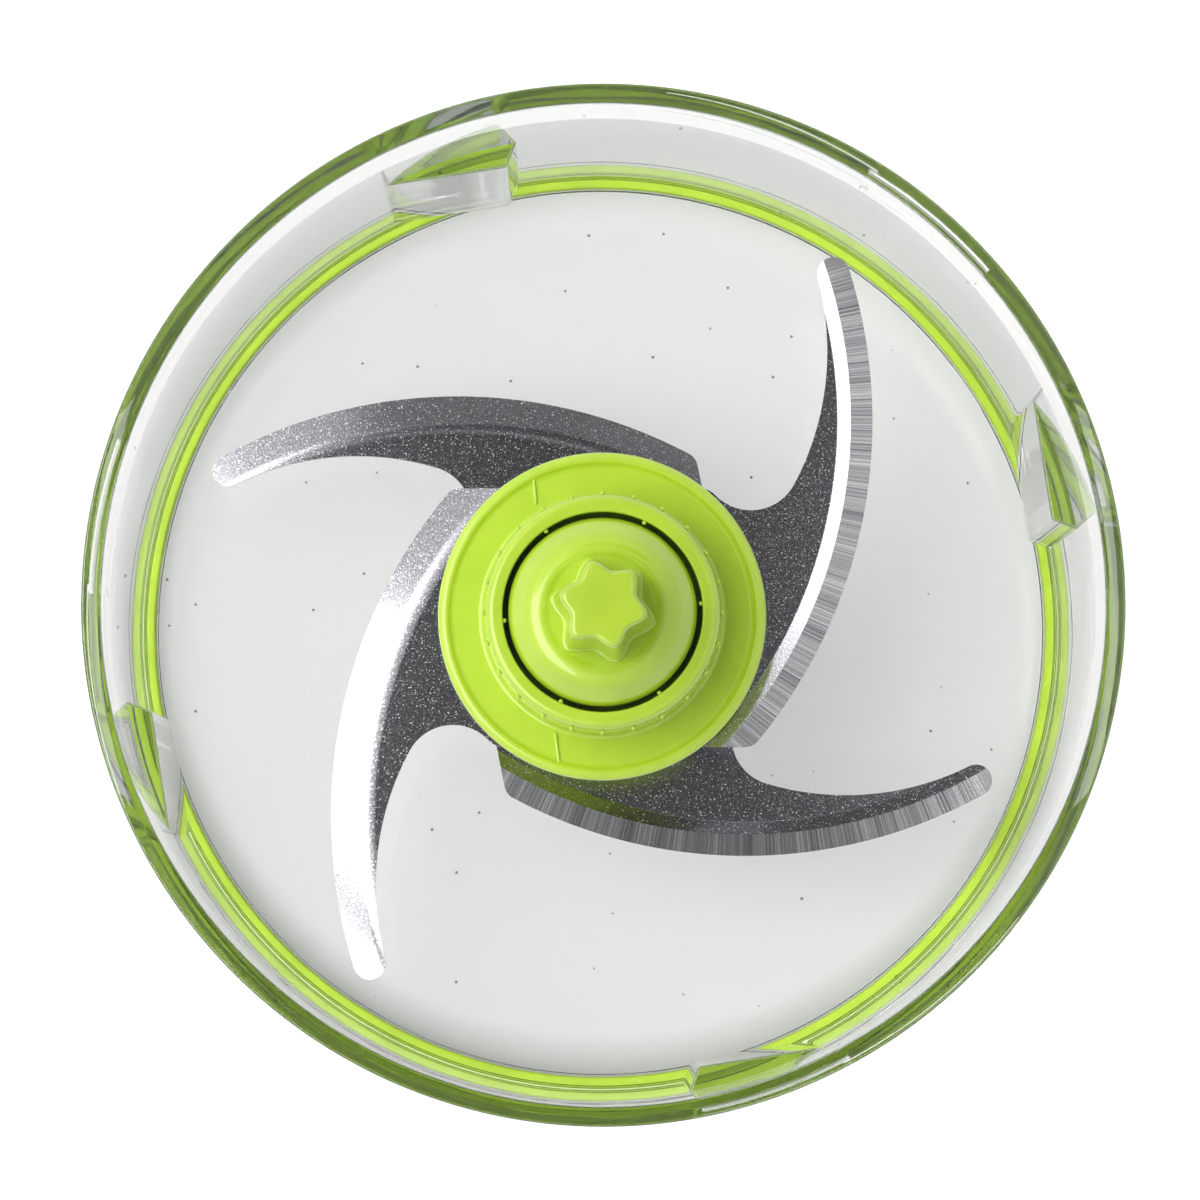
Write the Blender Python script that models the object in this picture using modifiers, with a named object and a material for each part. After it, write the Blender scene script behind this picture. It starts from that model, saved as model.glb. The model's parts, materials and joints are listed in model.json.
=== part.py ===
"""Food chopper: a clear bowl on a green foot ring, holding a unit of two S-shaped blades.

Metres and degrees, +Z up. The origin is the centre of the foot ring's underside, and every
turning piece has its origin on the spindle's axis. Each stack of sizes is worked out upwards
from the foot ring and outwards from the spindle, so that a changed size moves what sits on it.
"""

import math

import bmesh
import bpy
from mathutils import Matrix

# Clearances and facets
GAP = 0.0003
RUNNING_GAP = 0.0005
ROUND_STEPS = 60
HEAD_STEPS = 48
SMALL_STEPS = 36
BEND_STEPS = 180

# Bowl
BOWL_HEIGHT = 0.0820
RIM_RADIUS = 0.06505
RIM_BEAD_HEIGHT = 0.0036
RIM_BEAD_OVERHANG = 0.00105
RIM_ROUNDING = 0.0005
RIM_FADE = 0.0120
FADE_ROUNDING = 0.0120
WALL_TOP_THICKNESS = 0.0015
WALL_BASE_THICKNESS = 0.00135
WALL_TAPER = 0.00035
FLOOR_OVER_RING = 0.0013
FLOOR_THICKNESS = 0.0024
FLOOR_FILLET = 0.0005
BOSS_BASE_RADIUS = 0.0080
BOSS_TAPER = 0.0015
BOSS_HEIGHT = 0.0069
BOSS_FILLET = 0.0012
PIN_SOCKET_FLOOR = 0.0012

# Vanes inside the bowl
VANE_COUNT = 4
VANE_BLUNT_ANGLE = 10.0
VANE_CORNER_ANGLE = 12.0
VANE_ACUTE_ANGLE = 26.9
VANE_DEPTH = 0.0028
VANE_HEIGHT = 0.0440

# Bayonet lugs for a lid, outside the bowl under its rim
LUG_COUNT = 3
LUG_STOP_ANGLE = 41.0
LUG_LOCK_ANGLE = 58.7
LUG_ENTRY_ANGLE = 83.0
LUG_DROP = 0.0014
LUG_HEIGHT = 0.0090
LUG_INSET = 0.0005
LEAD_RIB_RADIUS = 0.0008
LEAD_RIB_FALL = 0.0030

# Foot ring
RING_HEIGHT = 0.0050
RING_WIDTH = 0.0030
RING_SOLE = 0.0030
RING_SIDE = 0.0007
TONGUE_THICKNESS = 0.0008
RING_ROUNDING = 0.0005

# Spindle, bushes and thrust pad
PIN_RADIUS = 0.0030
PIN_END_ROUNDING = 0.0010
UPPER_BUSH_WALL = 0.0010
LOWER_BUSH_WALL = 0.0017
BUSH_LENGTH = 0.0080
PAD_THICKNESS = 0.0014

# Drive shaft with its domed head and star
SHAFT_WALL = 0.0017
SHAFT_LUG_DEPTH = 0.0016
SHAFT_LUG_HEIGHT = 0.0022
SHAFT_LUG_ANGLE = 18.0
HEAD_RADIUS = 0.0120
HEAD_HEIGHT = 0.0150
HEAD_ROUNDING = 0.0024
HEAD_DISH_DEPTH = 0.0006
HEAD_DISH_RADIUS = 0.0088
STAR_POINTS = 6
STAR_BASE_RADIUS = 0.0071
STAR_TOP_RADIUS = 0.0059
STAR_VALLEY_SHARE = 0.73
STAR_HEIGHT = 0.0150
STAR_TURN = 45.0
STAR_STEPS = 8

# Hub with its flange, gripped collar and tube
HUB_BORE_GAP = 0.0011
COLLAR_WALL = 0.0019
COLLAR_TAPER = 0.0004
COLLAR_HEIGHT = 0.0113
COLLAR_ROUNDING = 0.0011
FLANGE_THICKNESS = 0.0034
LIP_HEIGHT = 0.0006
LIP_WIDTH = 0.0016
LIP_ROUNDING = 0.0011
GRIP_RIBS = 24
GRIP_RIB_RADIUS = 0.0005
GRIP_RIB_PROUD = 0.00035
CENTRING_RIBS = 6
CENTRING_RIB_TURN = 5.0
TUBE_WALL = 0.0027
TUBE_FLAT_DEPTH = 0.0014
TWIST_ANGLE = 40.0
TWIST_CLEARANCE = 2.5

# Blades, sleeve and bottom collar
BLADE_THICKNESS = 0.0012
BLADE_TIP_CLEARANCE = 0.0032
BLADE_TIP_WIDTH = 0.00425
BLADE_TIP_DIRECTION = 56.1
EDGE_RADIUS = 0.0660
BACK_RADIUS = 0.0370
BACK_DIRECTION = 15.0
ROOT_HALF_WIDTH = 0.0169
ROOT_CORNER_REACH = 0.0186
ROOT_CORNER_RADIUS = 0.0022
NECK_STEP = 0.0029
NECK_FILLET = 0.0064
NECK_SHOULDER = 0.0030
BEND_WIDTH = 0.0046
BEND_ANGLE = 15.0
GROUND_WIDTH = 0.00285
EDGE_LAND = 0.00025
LOWER_BLADE_TURN = -78.6
SLEEVE_LENGTH = 0.0202
SLEEVE_WALL = 0.0037
BOTTOM_COLLAR_HEIGHT = 0.0046
BOTTOM_COLLAR_WALL = 0.0052
BOTTOM_COLLAR_CHAMFER = 0.0020

# Finishes: colour (linear red, green, blue), roughness, metallic, alpha
CLEAR_PLASTIC = ((0.86, 0.90, 0.86), 0.05, 0.0, 0.35)
GREEN_RUBBER = ((0.40, 0.66, 0.03), 0.55, 0.0, 1.0)
GREEN_PLASTIC = ((0.45, 0.68, 0.04), 0.28, 0.0, 1.0)
WHITE_PLASTIC = ((0.80, 0.80, 0.78), 0.40, 0.0, 1.0)
STEEL = ((0.46, 0.46, 0.47), 0.32, 1.0, 1.0)
POLISHED_STEEL = ((0.60, 0.60, 0.61), 0.18, 1.0, 1.0)

# Radii that follow from the sizes above, from the rim inwards
wall_top_outer = RIM_RADIUS - RIM_BEAD_OVERHANG
wall_base_outer = wall_top_outer - WALL_TAPER
wall_top_inner = wall_top_outer - WALL_TOP_THICKNESS
wall_base_inner = wall_base_outer - WALL_BASE_THICKNESS
vane_corner_radius = wall_base_inner - VANE_DEPTH
blade_tip_radius = vane_corner_radius - BLADE_TIP_CLEARANCE
ring_inner = wall_base_outer - RING_WIDTH
tongue_outer = wall_base_outer - RING_SIDE - GAP
tongue_inner = tongue_outer - TONGUE_THICKNESS

# Radii that follow from the spindle outwards
bush_bore = PIN_RADIUS + GAP
pad_pocket_radius = bush_bore + GAP
upper_bush_radius = bush_bore + UPPER_BUSH_WALL
upper_bore = upper_bush_radius + GAP
lower_bush_radius = bush_bore + LOWER_BUSH_WALL
lower_bore = lower_bush_radius + GAP
shaft_radius = lower_bore + SHAFT_WALL
shaft_lug_radius = shaft_radius + SHAFT_LUG_DEPTH
tube_bore = shaft_radius + GAP
tube_radius = tube_bore + TUBE_WALL
tube_flat = tube_radius - TUBE_FLAT_DEPTH
sleeve_bore = tube_radius + GAP
sleeve_radius = sleeve_bore + SLEEVE_WALL
bottom_collar_radius = sleeve_bore + BOTTOM_COLLAR_WALL
collar_bore = HEAD_RADIUS + HUB_BORE_GAP
collar_top_radius = collar_bore + COLLAR_WALL
collar_base_radius = collar_top_radius + COLLAR_TAPER

# Heights that follow, from the foot ring upwards
tongue_bottom = RING_SOLE + GAP
wall_base = RING_HEIGHT + GAP
floor_top = wall_base + FLOOR_OVER_RING
floor_bottom = floor_top - FLOOR_THICKNESS
pin_bottom = floor_bottom + PIN_SOCKET_FLOOR + GAP
boss_top = floor_top + BOSS_HEIGHT
shaft_bottom = boss_top + RUNNING_GAP
shaft_lug_top = shaft_bottom + SHAFT_LUG_HEIGHT
tube_shoulder = shaft_lug_top + GAP
bottom_collar_top = tube_shoulder + BOTTOM_COLLAR_HEIGHT
lower_blade_middle = bottom_collar_top + GAP + BLADE_THICKNESS / 2
sleeve_bottom = lower_blade_middle + BLADE_THICKNESS / 2 + GAP
sleeve_top = sleeve_bottom + SLEEVE_LENGTH
upper_blade_middle = sleeve_top + GAP + BLADE_THICKNESS / 2
hub_bottom = upper_blade_middle + BLADE_THICKNESS / 2 + GAP
flange_top = hub_bottom + FLANGE_THICKNESS
socket_floor = flange_top + GAP
hub_top = socket_floor + COLLAR_HEIGHT
head_bottom = socket_floor + GAP
head_top = head_bottom + HEAD_HEIGHT
star_top = head_top + STAR_HEIGHT
pad_top = head_top - HEAD_ROUNDING - GAP
pad_bottom = pad_top - PAD_THICKNESS
pin_top = pad_bottom - GAP
upper_bush_top = pad_bottom - 2 * GAP - PAD_THICKNESS


def polar(radius, degrees, centre=(0.0, 0.0)):
    """Point at a radius and angle from a centre."""
    angle = math.radians(degrees)
    return (centre[0] + radius * math.cos(angle), centre[1] + radius * math.sin(angle))


def bearing(centre, point):
    """Angle in degrees of a point as seen from a centre."""
    return math.degrees(math.atan2(point[1] - centre[1], point[0] - centre[0]))


def arc(centre, radius, start, end, steps):
    """Points along an arc from one angle to another, both ends included."""
    return [polar(radius, start + (end - start) * i / steps, centre) for i in range(steps + 1)]


def turn(points, degrees):
    """Points turned about the origin."""
    cosine, sine = math.cos(math.radians(degrees)), math.sin(math.radians(degrees))
    return [(x * cosine - y * sine, x * sine + y * cosine) for x, y in points]


def rounded(corners, closed=False, steps=2):
    """Profile points from (radius, height, rounding) corners, each rounding drawn as an arc."""
    points = []
    for i, (x, z, rounding) in enumerate(corners):
        inner = closed or 0 < i < len(corners) - 1
        if rounding == 0 or not inner:
            points.append((x, z))
            continue
        before = corners[i - 1]
        after = corners[(i + 1) % len(corners)]
        into = (x - before[0], z - before[1])
        out = (after[0] - x, after[1] - z)
        into_length, out_length = math.hypot(*into), math.hypot(*out)
        into = (into[0] / into_length, into[1] / into_length)
        out = (out[0] / out_length, out[1] / out_length)
        side = math.copysign(1.0, into[0] * out[1] - into[1] * out[0])
        bend = math.acos(max(-1.0, min(1.0, into[0] * out[0] + into[1] * out[1])))
        setback = min(rounding * math.tan(bend / 2), 0.45 * into_length, 0.45 * out_length)
        radius = setback / math.tan(bend / 2)
        start = (x - into[0] * setback, z - into[1] * setback)
        centre = (start[0] - into[1] * side * radius, start[1] + into[0] * side * radius)
        first = bearing(centre, start)
        points += arc(centre, radius, first, first + side * math.degrees(bend), steps)
    return points


def collection(name, hidden=False):
    """New collection in the scene."""
    group = bpy.data.collections.new(name)
    bpy.context.scene.collection.children.link(group)
    group.hide_render = hidden
    return group


def material(name, finish):
    """Principled material of a finish."""
    colour, roughness, metallic, alpha = finish
    made = bpy.data.materials.new(name)
    made.use_nodes = True
    shader = made.node_tree.nodes["Principled BSDF"]
    shader.inputs["Base Color"].default_value = (*colour, 1.0)
    shader.inputs["Roughness"].default_value = roughness
    shader.inputs["Metallic"].default_value = metallic
    shader.inputs["Alpha"].default_value = alpha
    return made


def place(name, mesh, group, height=0.0):
    """Object of a mesh, in a collection, on the axis at a height."""
    made = bpy.data.objects.new(name, mesh)
    made.location.z = height
    group.objects.link(made)
    if group.hide_render:
        made.hide_render = True
        made.display_type = "WIRE"
    return made


def turned(name, profile, group, steps, closed=False, centre=(0.0, 0.0)):
    """Solid turned about a vertical axis from a profile of (radius, height) points."""
    mesh = bpy.data.meshes.new(name)
    edges = [(i, i + 1) for i in range(len(profile) - 1)]
    if closed:
        edges.append((len(profile) - 1, 0))
    mesh.from_pydata([(x, 0.0, z) for x, z in profile], edges, [])
    made = place(name, mesh, group)
    made.location.x, made.location.y = centre
    screw = made.modifiers.new("turning", "SCREW")
    screw.steps = screw.render_steps = steps
    screw.use_merge_vertices = True
    screw.merge_threshold = 0.00001
    screw.use_smooth_shade = True
    return made


def plate(name, outline, low, high, group):
    """Solid of a flat outline between two heights, drawn as a filled curve."""
    curve = bpy.data.curves.new(name, "CURVE")
    curve.dimensions = "2D"
    curve.fill_mode = "BOTH"
    curve.extrude = (high - low) / 2
    spline = curve.splines.new("POLY")
    spline.points.add(len(outline) - 1)
    for point, (x, y) in zip(spline.points, outline):
        point.co = (x, y, 0.0, 1.0)
    spline.use_cyclic_u = True
    return converted(name, curve, group, (low + high) / 2)


def converted(name, curve, group, height=0.0):
    """Mesh object of a curve, with its caps welded on."""
    drawn = bpy.data.objects.new(name + "_curve", curve)
    bpy.context.scene.collection.objects.link(drawn)
    bpy.context.view_layer.update()
    shape = drawn.evaluated_get(bpy.context.evaluated_depsgraph_get())
    mesh = bpy.data.meshes.new_from_object(shape)
    bpy.data.objects.remove(drawn)
    weld = bmesh.new()
    weld.from_mesh(mesh)
    bmesh.ops.remove_doubles(weld, verts=weld.verts, dist=0.000001)
    bmesh.ops.recalc_face_normals(weld, faces=weld.faces)
    weld.to_mesh(mesh)
    weld.free()
    return place(name, mesh, group, height)


def sector(name, inner, outer, spans, low, high, group):
    """One mesh of annular sectors, one for each (start, end) span of angles."""
    first, *others = [
        plate(
            name,
            arc((0, 0), outer, start, end, 8) + arc((0, 0), inner, end, start, 8),
            low, high, group,
        )
        for start, end in spans
    ]
    return merged(first, others)


def merged(first, others):
    """First object's mesh with the meshes of the others added."""
    gathered = bmesh.new()
    for piece in [first, *others]:
        piece.data.transform(Matrix.Translation(piece.location - first.location))
        gathered.from_mesh(piece.data)
    gathered.to_mesh(first.data)
    gathered.free()
    for piece in others:
        bpy.data.objects.remove(piece)
    return first


def rods(name, count, first_angle, distance, radius, low, high, group):
    """One mesh of upright rods spaced evenly round the axis."""
    mesh = bpy.data.meshes.new(name)
    gathered = bmesh.new()
    for i in range(count):
        x, y = polar(distance, first_angle + 360.0 * i / count)
        bmesh.ops.create_cone(
            gathered, cap_ends=True, segments=8, radius1=radius, radius2=radius,
            depth=high - low, matrix=Matrix.Translation((x, y, (low + high) / 2)),
        )
    gathered.to_mesh(mesh)
    gathered.free()
    return place(name, mesh, group)


def boolean(target, tool, operation):
    """Joins a tool to a target, cuts it away, or keeps what both share."""
    change = target.modifiers.new(tool.name, "BOOLEAN")
    change.object = tool
    change.operation = operation
    change.solver = "EXACT"


def repeated_spans(count, start, end):
    """Span of angles repeated evenly round the axis."""
    return [(start + 360.0 * i / count, end + 360.0 * i / count) for i in range(count)]


def make_vanes(tools):
    """Solid wedges that stand inside the wall and turn food back to the blades."""
    root = (wall_base_inner + wall_base_outer) / 2
    acute_radius = wall_base_inner + (wall_top_inner - wall_base_inner) / 2
    wedge = [
        polar(vane_corner_radius, VANE_CORNER_ANGLE),
        polar(acute_radius, VANE_ACUTE_ANGLE),
        *arc((0, 0), root, VANE_ACUTE_ANGLE, VANE_BLUNT_ANGLE, 6),
    ]
    low = floor_top - FLOOR_THICKNESS / 2
    first, *others = [
        plate("vanes", turn(wedge, 360.0 * i / VANE_COUNT), low, floor_top + VANE_HEIGHT, tools)
        for i in range(VANE_COUNT)
    ]
    return merged(first, others)


def make_lead_ribs(lock_top, tools):
    """Rounded ribs that lead a lid's tabs down to the lugs."""
    curve = bpy.data.curves.new("lead_ribs", "CURVE")
    curve.dimensions = "3D"
    curve.bevel_depth = LEAD_RIB_RADIUS
    curve.bevel_resolution = 2
    curve.use_fill_caps = True
    steps = 10
    for start, end in repeated_spans(LUG_COUNT, LUG_LOCK_ANGLE - 1.0, LUG_ENTRY_ANGLE):
        spline = curve.splines.new("POLY")
        spline.points.add(steps)
        for i, point in enumerate(spline.points):
            x, y = polar(RIM_RADIUS - LEAD_RIB_RADIUS, start + (end - start) * i / steps)
            point.co = (x, y, lock_top - LEAD_RIB_RADIUS - LEAD_RIB_FALL * (1 - i / steps), 1.0)
    return converted("lead_ribs", curve, tools)


def make_bowl(parts, tools):
    """Clear bowl with its boss, tongue, vanes and lid lugs."""
    bead_bottom = BOWL_HEIGHT - RIM_BEAD_HEIGHT
    socket_bottom = floor_bottom + PIN_SOCKET_FLOOR
    corners = [
        (0.0, socket_bottom, 0.0),
        (bush_bore, socket_bottom, 0.0),
        (bush_bore, boss_top, 0.0),
        (BOSS_BASE_RADIUS - BOSS_TAPER, boss_top, BOSS_FILLET / 2),
        (BOSS_BASE_RADIUS, floor_top, BOSS_FILLET),
        (wall_base_inner, floor_top, FLOOR_FILLET),
        (wall_top_inner, BOWL_HEIGHT, RIM_ROUNDING),
        (RIM_RADIUS, BOWL_HEIGHT, RIM_ROUNDING),
        (RIM_RADIUS, bead_bottom, RIM_ROUNDING),
        (wall_top_outer, bead_bottom - RIM_FADE, FADE_ROUNDING),
        (wall_base_outer, wall_base, RIM_ROUNDING),
        (tongue_outer, wall_base, 0.0),
        (tongue_outer, tongue_bottom, 0.0),
        (tongue_inner, tongue_bottom, 0.0),
        (tongue_inner, wall_base, 0.0),
        (ring_inner - GAP, wall_base, 0.0),
        (ring_inner - GAP, floor_bottom, 0.0),
        (0.0, floor_bottom, 0.0),
    ]
    bowl = turned("bowl", rounded(corners, steps=3), parts, ROUND_STEPS)
    lug_top = bead_bottom - LUG_DROP
    lug_root = wall_top_outer - WALL_TOP_THICKNESS / 2
    lugs = sector(
        "lugs", lug_root, RIM_RADIUS - LUG_INSET,
        repeated_spans(LUG_COUNT, LUG_STOP_ANGLE, LUG_LOCK_ANGLE),
        lug_top - LUG_HEIGHT, lug_top, tools,
    )
    boolean(bowl, make_vanes(tools), "UNION")
    boolean(bowl, lugs, "UNION")
    boolean(bowl, make_lead_ribs(lug_top, tools), "UNION")
    return bowl


def make_base_ring(parts):
    """Grippy foot ring, a channel that holds the bowl's tongue."""
    corners = [
        (tongue_outer + GAP, RING_HEIGHT, 0.0),
        (wall_base_outer, RING_HEIGHT, RING_ROUNDING / 2),
        (wall_base_outer, 0.0, RING_ROUNDING),
        (ring_inner, 0.0, RING_ROUNDING),
        (ring_inner, RING_HEIGHT, RING_ROUNDING / 2),
        (tongue_inner - GAP, RING_HEIGHT, 0.0),
        (tongue_inner - GAP, RING_SOLE, 0.0),
        (tongue_outer + GAP, RING_SOLE, 0.0),
    ]
    return turned("base_ring", rounded(corners, True), parts, ROUND_STEPS, closed=True)


def make_spindle_pin(parts):
    """Steel pin that stands in the bowl's boss and carries the turning unit."""
    corners = [
        (0.0, pin_top, 0.0),
        (PIN_RADIUS, pin_top, PIN_END_ROUNDING),
        (PIN_RADIUS, pin_bottom, 0.0),
        (0.0, pin_bottom, 0.0),
    ]
    return turned("spindle_pin", rounded(corners, steps=4), parts, SMALL_STEPS)


def make_tube(name, inner, outer, low, high, parts, chamfer=0.0):
    """Plain round tube, its lower outer edge chamfered if asked."""
    profile = [(inner, high), (outer, high), (outer, low + chamfer)]
    if chamfer:
        profile.append((outer - chamfer, low))
    profile.append((inner, low))
    return turned(name, profile, parts, SMALL_STEPS, closed=True)


def make_thrust_pad(parts):
    """Steel disc that rests on the pin's end."""
    profile = [
        (0.0, pad_top), (PIN_RADIUS, pad_top), (PIN_RADIUS, pad_bottom), (0.0, pad_bottom),
    ]
    return turned("thrust_pad", profile, parts, SMALL_STEPS)


def star_outline():
    """Six sharp points with hollow flanks."""
    steps = STAR_POINTS * STAR_STEPS
    outline = []
    for i in range(steps):
        hollow = abs(math.sin(math.pi * STAR_POINTS * i / steps))
        reach = STAR_BASE_RADIUS * (1.0 - (1.0 - STAR_VALLEY_SHARE) * hollow)
        outline.append(polar(reach, STAR_TURN + 360.0 * i / steps))
    return outline


def make_drive_shaft(parts, tools):
    """Hollow shaft with the domed head, the star that a lid would drive and two foot lugs."""
    dish_floor = head_top - HEAD_DISH_DEPTH
    corners = [
        (0.0, dish_floor, 0.0),
        (STAR_BASE_RADIUS, dish_floor, 0.0),
        (HEAD_DISH_RADIUS, head_top, HEAD_DISH_DEPTH),
        (HEAD_RADIUS, head_top, HEAD_ROUNDING),
        (HEAD_RADIUS, head_bottom, GAP),
        (shaft_radius, head_bottom, 0.0),
        (shaft_radius, shaft_bottom, 0.0),
        (lower_bore, shaft_bottom, 0.0),
        (lower_bore, shaft_bottom + BUSH_LENGTH + 2 * GAP, 0.0),
        (upper_bore, shaft_bottom + BUSH_LENGTH + 2 * GAP, 0.0),
        (upper_bore, upper_bush_top + GAP, 0.0),
        (pad_pocket_radius, upper_bush_top + GAP, 0.0),
        (pad_pocket_radius, pad_top + GAP, 0.0),
        (0.0, pad_top + GAP, 0.0),
    ]
    shaft = turned("drive_shaft", rounded(corners, steps=4), parts, HEAD_STEPS)
    star = plate("star", star_outline(), dish_floor - GAP, star_top, tools)
    for vertex in star.data.vertices:
        if vertex.co.z > 0:
            vertex.co.xy *= STAR_TOP_RADIUS / STAR_BASE_RADIUS
    lug_centre = -TWIST_ANGLE
    spans = repeated_spans(2, lug_centre - SHAFT_LUG_ANGLE / 2, lug_centre + SHAFT_LUG_ANGLE / 2)
    root = shaft_radius - SHAFT_WALL / 2
    lugs = sector("shaft_lugs", root, shaft_lug_radius, spans, shaft_bottom, shaft_lug_top, tools)
    boolean(shaft, star, "UNION")
    boolean(shaft, lugs, "UNION")
    return shaft


def make_hub(flange_radius, parts, tools):
    """Flanged hub with a gripped collar round the head and a tube that carries the blades."""
    lip_top = flange_top + LIP_HEIGHT
    corners = [
        (collar_bore, hub_top, GAP),
        (collar_top_radius, hub_top, COLLAR_ROUNDING),
        (collar_base_radius, flange_top, COLLAR_ROUNDING),
        (flange_radius - LIP_WIDTH, flange_top, LIP_HEIGHT),
        (flange_radius - LIP_WIDTH / 2, lip_top, LIP_HEIGHT),
        (flange_radius, lip_top, LIP_ROUNDING),
        (flange_radius, hub_bottom, GAP),
        (tube_radius, hub_bottom, 0.0),
        (tube_radius, shaft_bottom, 0.0),
        (tube_bore, shaft_bottom, 0.0),
        (tube_bore, socket_floor, 0.0),
        (collar_bore, socket_floor, 0.0),
    ]
    hub = turned("hub", rounded(corners, True), parts, ROUND_STEPS, closed=True)
    grip = rods(
        "grip_ribs", GRIP_RIBS, 0.0, collar_base_radius + GRIP_RIB_PROUD - GRIP_RIB_RADIUS,
        GRIP_RIB_RADIUS, flange_top - GAP, hub_top - COLLAR_ROUNDING, tools,
    )
    rib_reach = GAP + GRIP_RIB_RADIUS
    centring = rods(
        "centring_ribs", CENTRING_RIBS, CENTRING_RIB_TURN, HEAD_RADIUS + rib_reach,
        GRIP_RIB_RADIUS, (socket_floor + hub_top) / 2, hub_top - COLLAR_ROUNDING / 2, tools,
    )
    half_lug = SHAFT_LUG_ANGLE / 2 + TWIST_CLEARANCE
    windows = sector(
        "twist_windows", tube_bore - GAP, tube_radius + GAP,
        repeated_spans(2, -TWIST_ANGLE - half_lug, half_lug),
        shaft_bottom - GAP, tube_shoulder, tools,
    )
    keyways = sector(
        "keyways", tube_bore - GAP, shaft_lug_radius + GAP, repeated_spans(2, -half_lug, half_lug),
        tube_shoulder - GAP, socket_floor + GAP, tools,
    )
    flats = make_flats(tools)
    boolean(hub, grip, "UNION")
    boolean(hub, centring, "UNION")
    boolean(hub, flats, "DIFFERENCE")
    boolean(hub, windows, "DIFFERENCE")
    boolean(hub, keyways, "DIFFERENCE")
    return hub


def make_flats(tools):
    """Two blocks that cut the flats which key the blades to the tube."""
    low, high = shaft_bottom - GAP, hub_bottom
    reach = tube_radius + GAP
    sides = []
    for side in (1, -1):
        block = [(-reach, tube_flat), (reach, tube_flat), (reach, reach), (-reach, reach)]
        sides.append(plate("tube_flats", [(x, side * y) for x, y in block], low, high, tools))
    return merged(sides[0], sides[1:])


class BladeShape:
    """Circles that the S-shaped outline is drawn from, for the arm on the +Y side."""

    def __init__(self):
        half_tip = BLADE_TIP_WIDTH / 2
        self.tip = polar(blade_tip_radius - half_tip, BLADE_TIP_DIRECTION)
        self.corner = (ROOT_CORNER_REACH, ROOT_CORNER_RADIUS - ROOT_HALF_WIDTH)
        self.edge = self.edge_centre(half_tip)
        self.back = polar(BACK_RADIUS + half_tip, BACK_DIRECTION + 180.0, self.tip)
        fillet_y = ROOT_HALF_WIDTH - NECK_STEP + NECK_FILLET
        across = math.sqrt((BACK_RADIUS - NECK_FILLET) ** 2 - (fillet_y - self.back[1]) ** 2)
        self.fillet = (self.back[0] + across, fillet_y)
        shoulder_y = ROOT_HALF_WIDTH - NECK_SHOULDER
        apart = math.sqrt((NECK_FILLET + NECK_SHOULDER) ** 2 - (fillet_y - shoulder_y) ** 2)
        self.shoulder = (self.fillet[0] - apart, shoulder_y)

    def edge_centre(self, half_tip):
        """Centre of the cutting edge's arc, which touches the tip's and the corner's roundings."""
        to_tip = EDGE_RADIUS - half_tip
        to_corner = EDGE_RADIUS - ROOT_CORNER_RADIUS
        dx, dy = self.corner[0] - self.tip[0], self.corner[1] - self.tip[1]
        span = math.hypot(dx, dy)
        along = (to_tip ** 2 - to_corner ** 2 + span ** 2) / (2 * span)
        aside = math.sqrt(to_tip ** 2 - along ** 2)
        return (
            self.tip[0] + (dx * along + dy * aside) / span,
            self.tip[1] + (dy * along - dx * aside) / span,
        )

    def crease_radius(self):
        """Radius of the bend line, about the same centre as the cutting edge."""
        return EDGE_RADIUS - BEND_WIDTH

    def crease_clearance(self):
        """Least distance from the spindle's axis to the bend line."""
        return self.crease_radius() - math.hypot(*self.edge)

    def half_outline(self):
        """Half of the outline, anticlockwise round the arm and a little past the middle."""
        tip_start = bearing(self.edge, self.tip)
        tip_end = bearing(self.tip, self.back)
        to_corner = bearing(self.edge, self.corner)
        to_fillet = bearing(self.back, self.fillet)
        past_fillet = to_fillet - (to_fillet - bearing(self.fillet, self.shoulder)) % 360.0
        half = [(-BLADE_THICKNESS, -ROOT_HALF_WIDTH)]
        half += arc(self.corner, ROOT_CORNER_RADIUS, -90.0, to_corner, 3)
        half += arc(self.edge, EDGE_RADIUS, to_corner, tip_start, 24)[1:]
        half += arc(self.tip, BLADE_TIP_WIDTH / 2, tip_start, tip_end % 360.0, 8)[1:]
        half += arc(self.back, BACK_RADIUS, bearing(self.back, self.tip), to_fillet, 12)[1:]
        half += arc(self.fillet, NECK_FILLET, to_fillet, past_fillet, 10)[1:]
        half += arc(
            self.shoulder, NECK_SHOULDER, bearing(self.shoulder, self.fillet), 90.0, 3,
        )[1:]
        return half + [(-BLADE_THICKNESS, ROOT_HALF_WIDTH)]


def bent_section(side):
    """Section of a flat sheet whose outer strip is bent and ground, raised for side 1."""
    half = BLADE_THICKNESS / 2
    crease = EDGE_RADIUS - BEND_WIDTH
    ground = EDGE_RADIUS - GROUND_WIDTH
    slope = math.tan(math.radians(BEND_ANGLE))
    edge_low = BEND_WIDTH * slope - half
    ground_high = half + (ground - crease) * slope
    grind = (edge_low + EDGE_LAND - ground_high) / GROUND_WIDTH
    section = [
        (NECK_FILLET, half),
        (crease, half),
        (ground, ground_high),
        (EDGE_RADIUS + GAP, edge_low + EDGE_LAND + grind * GAP),
        (EDGE_RADIUS + GAP, edge_low + slope * GAP),
        (crease, -half),
        (NECK_FILLET, -half),
    ]
    section = [(x, z * side) for x, z in section]
    return section if side > 0 else section[::-1]


def make_arm(name, half_turn, side, shape, tools):
    """Half of a blade: a tall plate of the half outline, kept only within the bent sheet."""
    deep = 4 * BLADE_THICKNESS
    arm = plate(name, turn(shape.half_outline(), half_turn), -deep, deep, tools)
    sheet = turned(
        name + "_sheet", bent_section(side), tools, BEND_STEPS, closed=True,
        centre=turn([shape.edge], half_turn)[0],
    )
    boolean(arm, sheet, "INTERSECT")
    return arm


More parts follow.
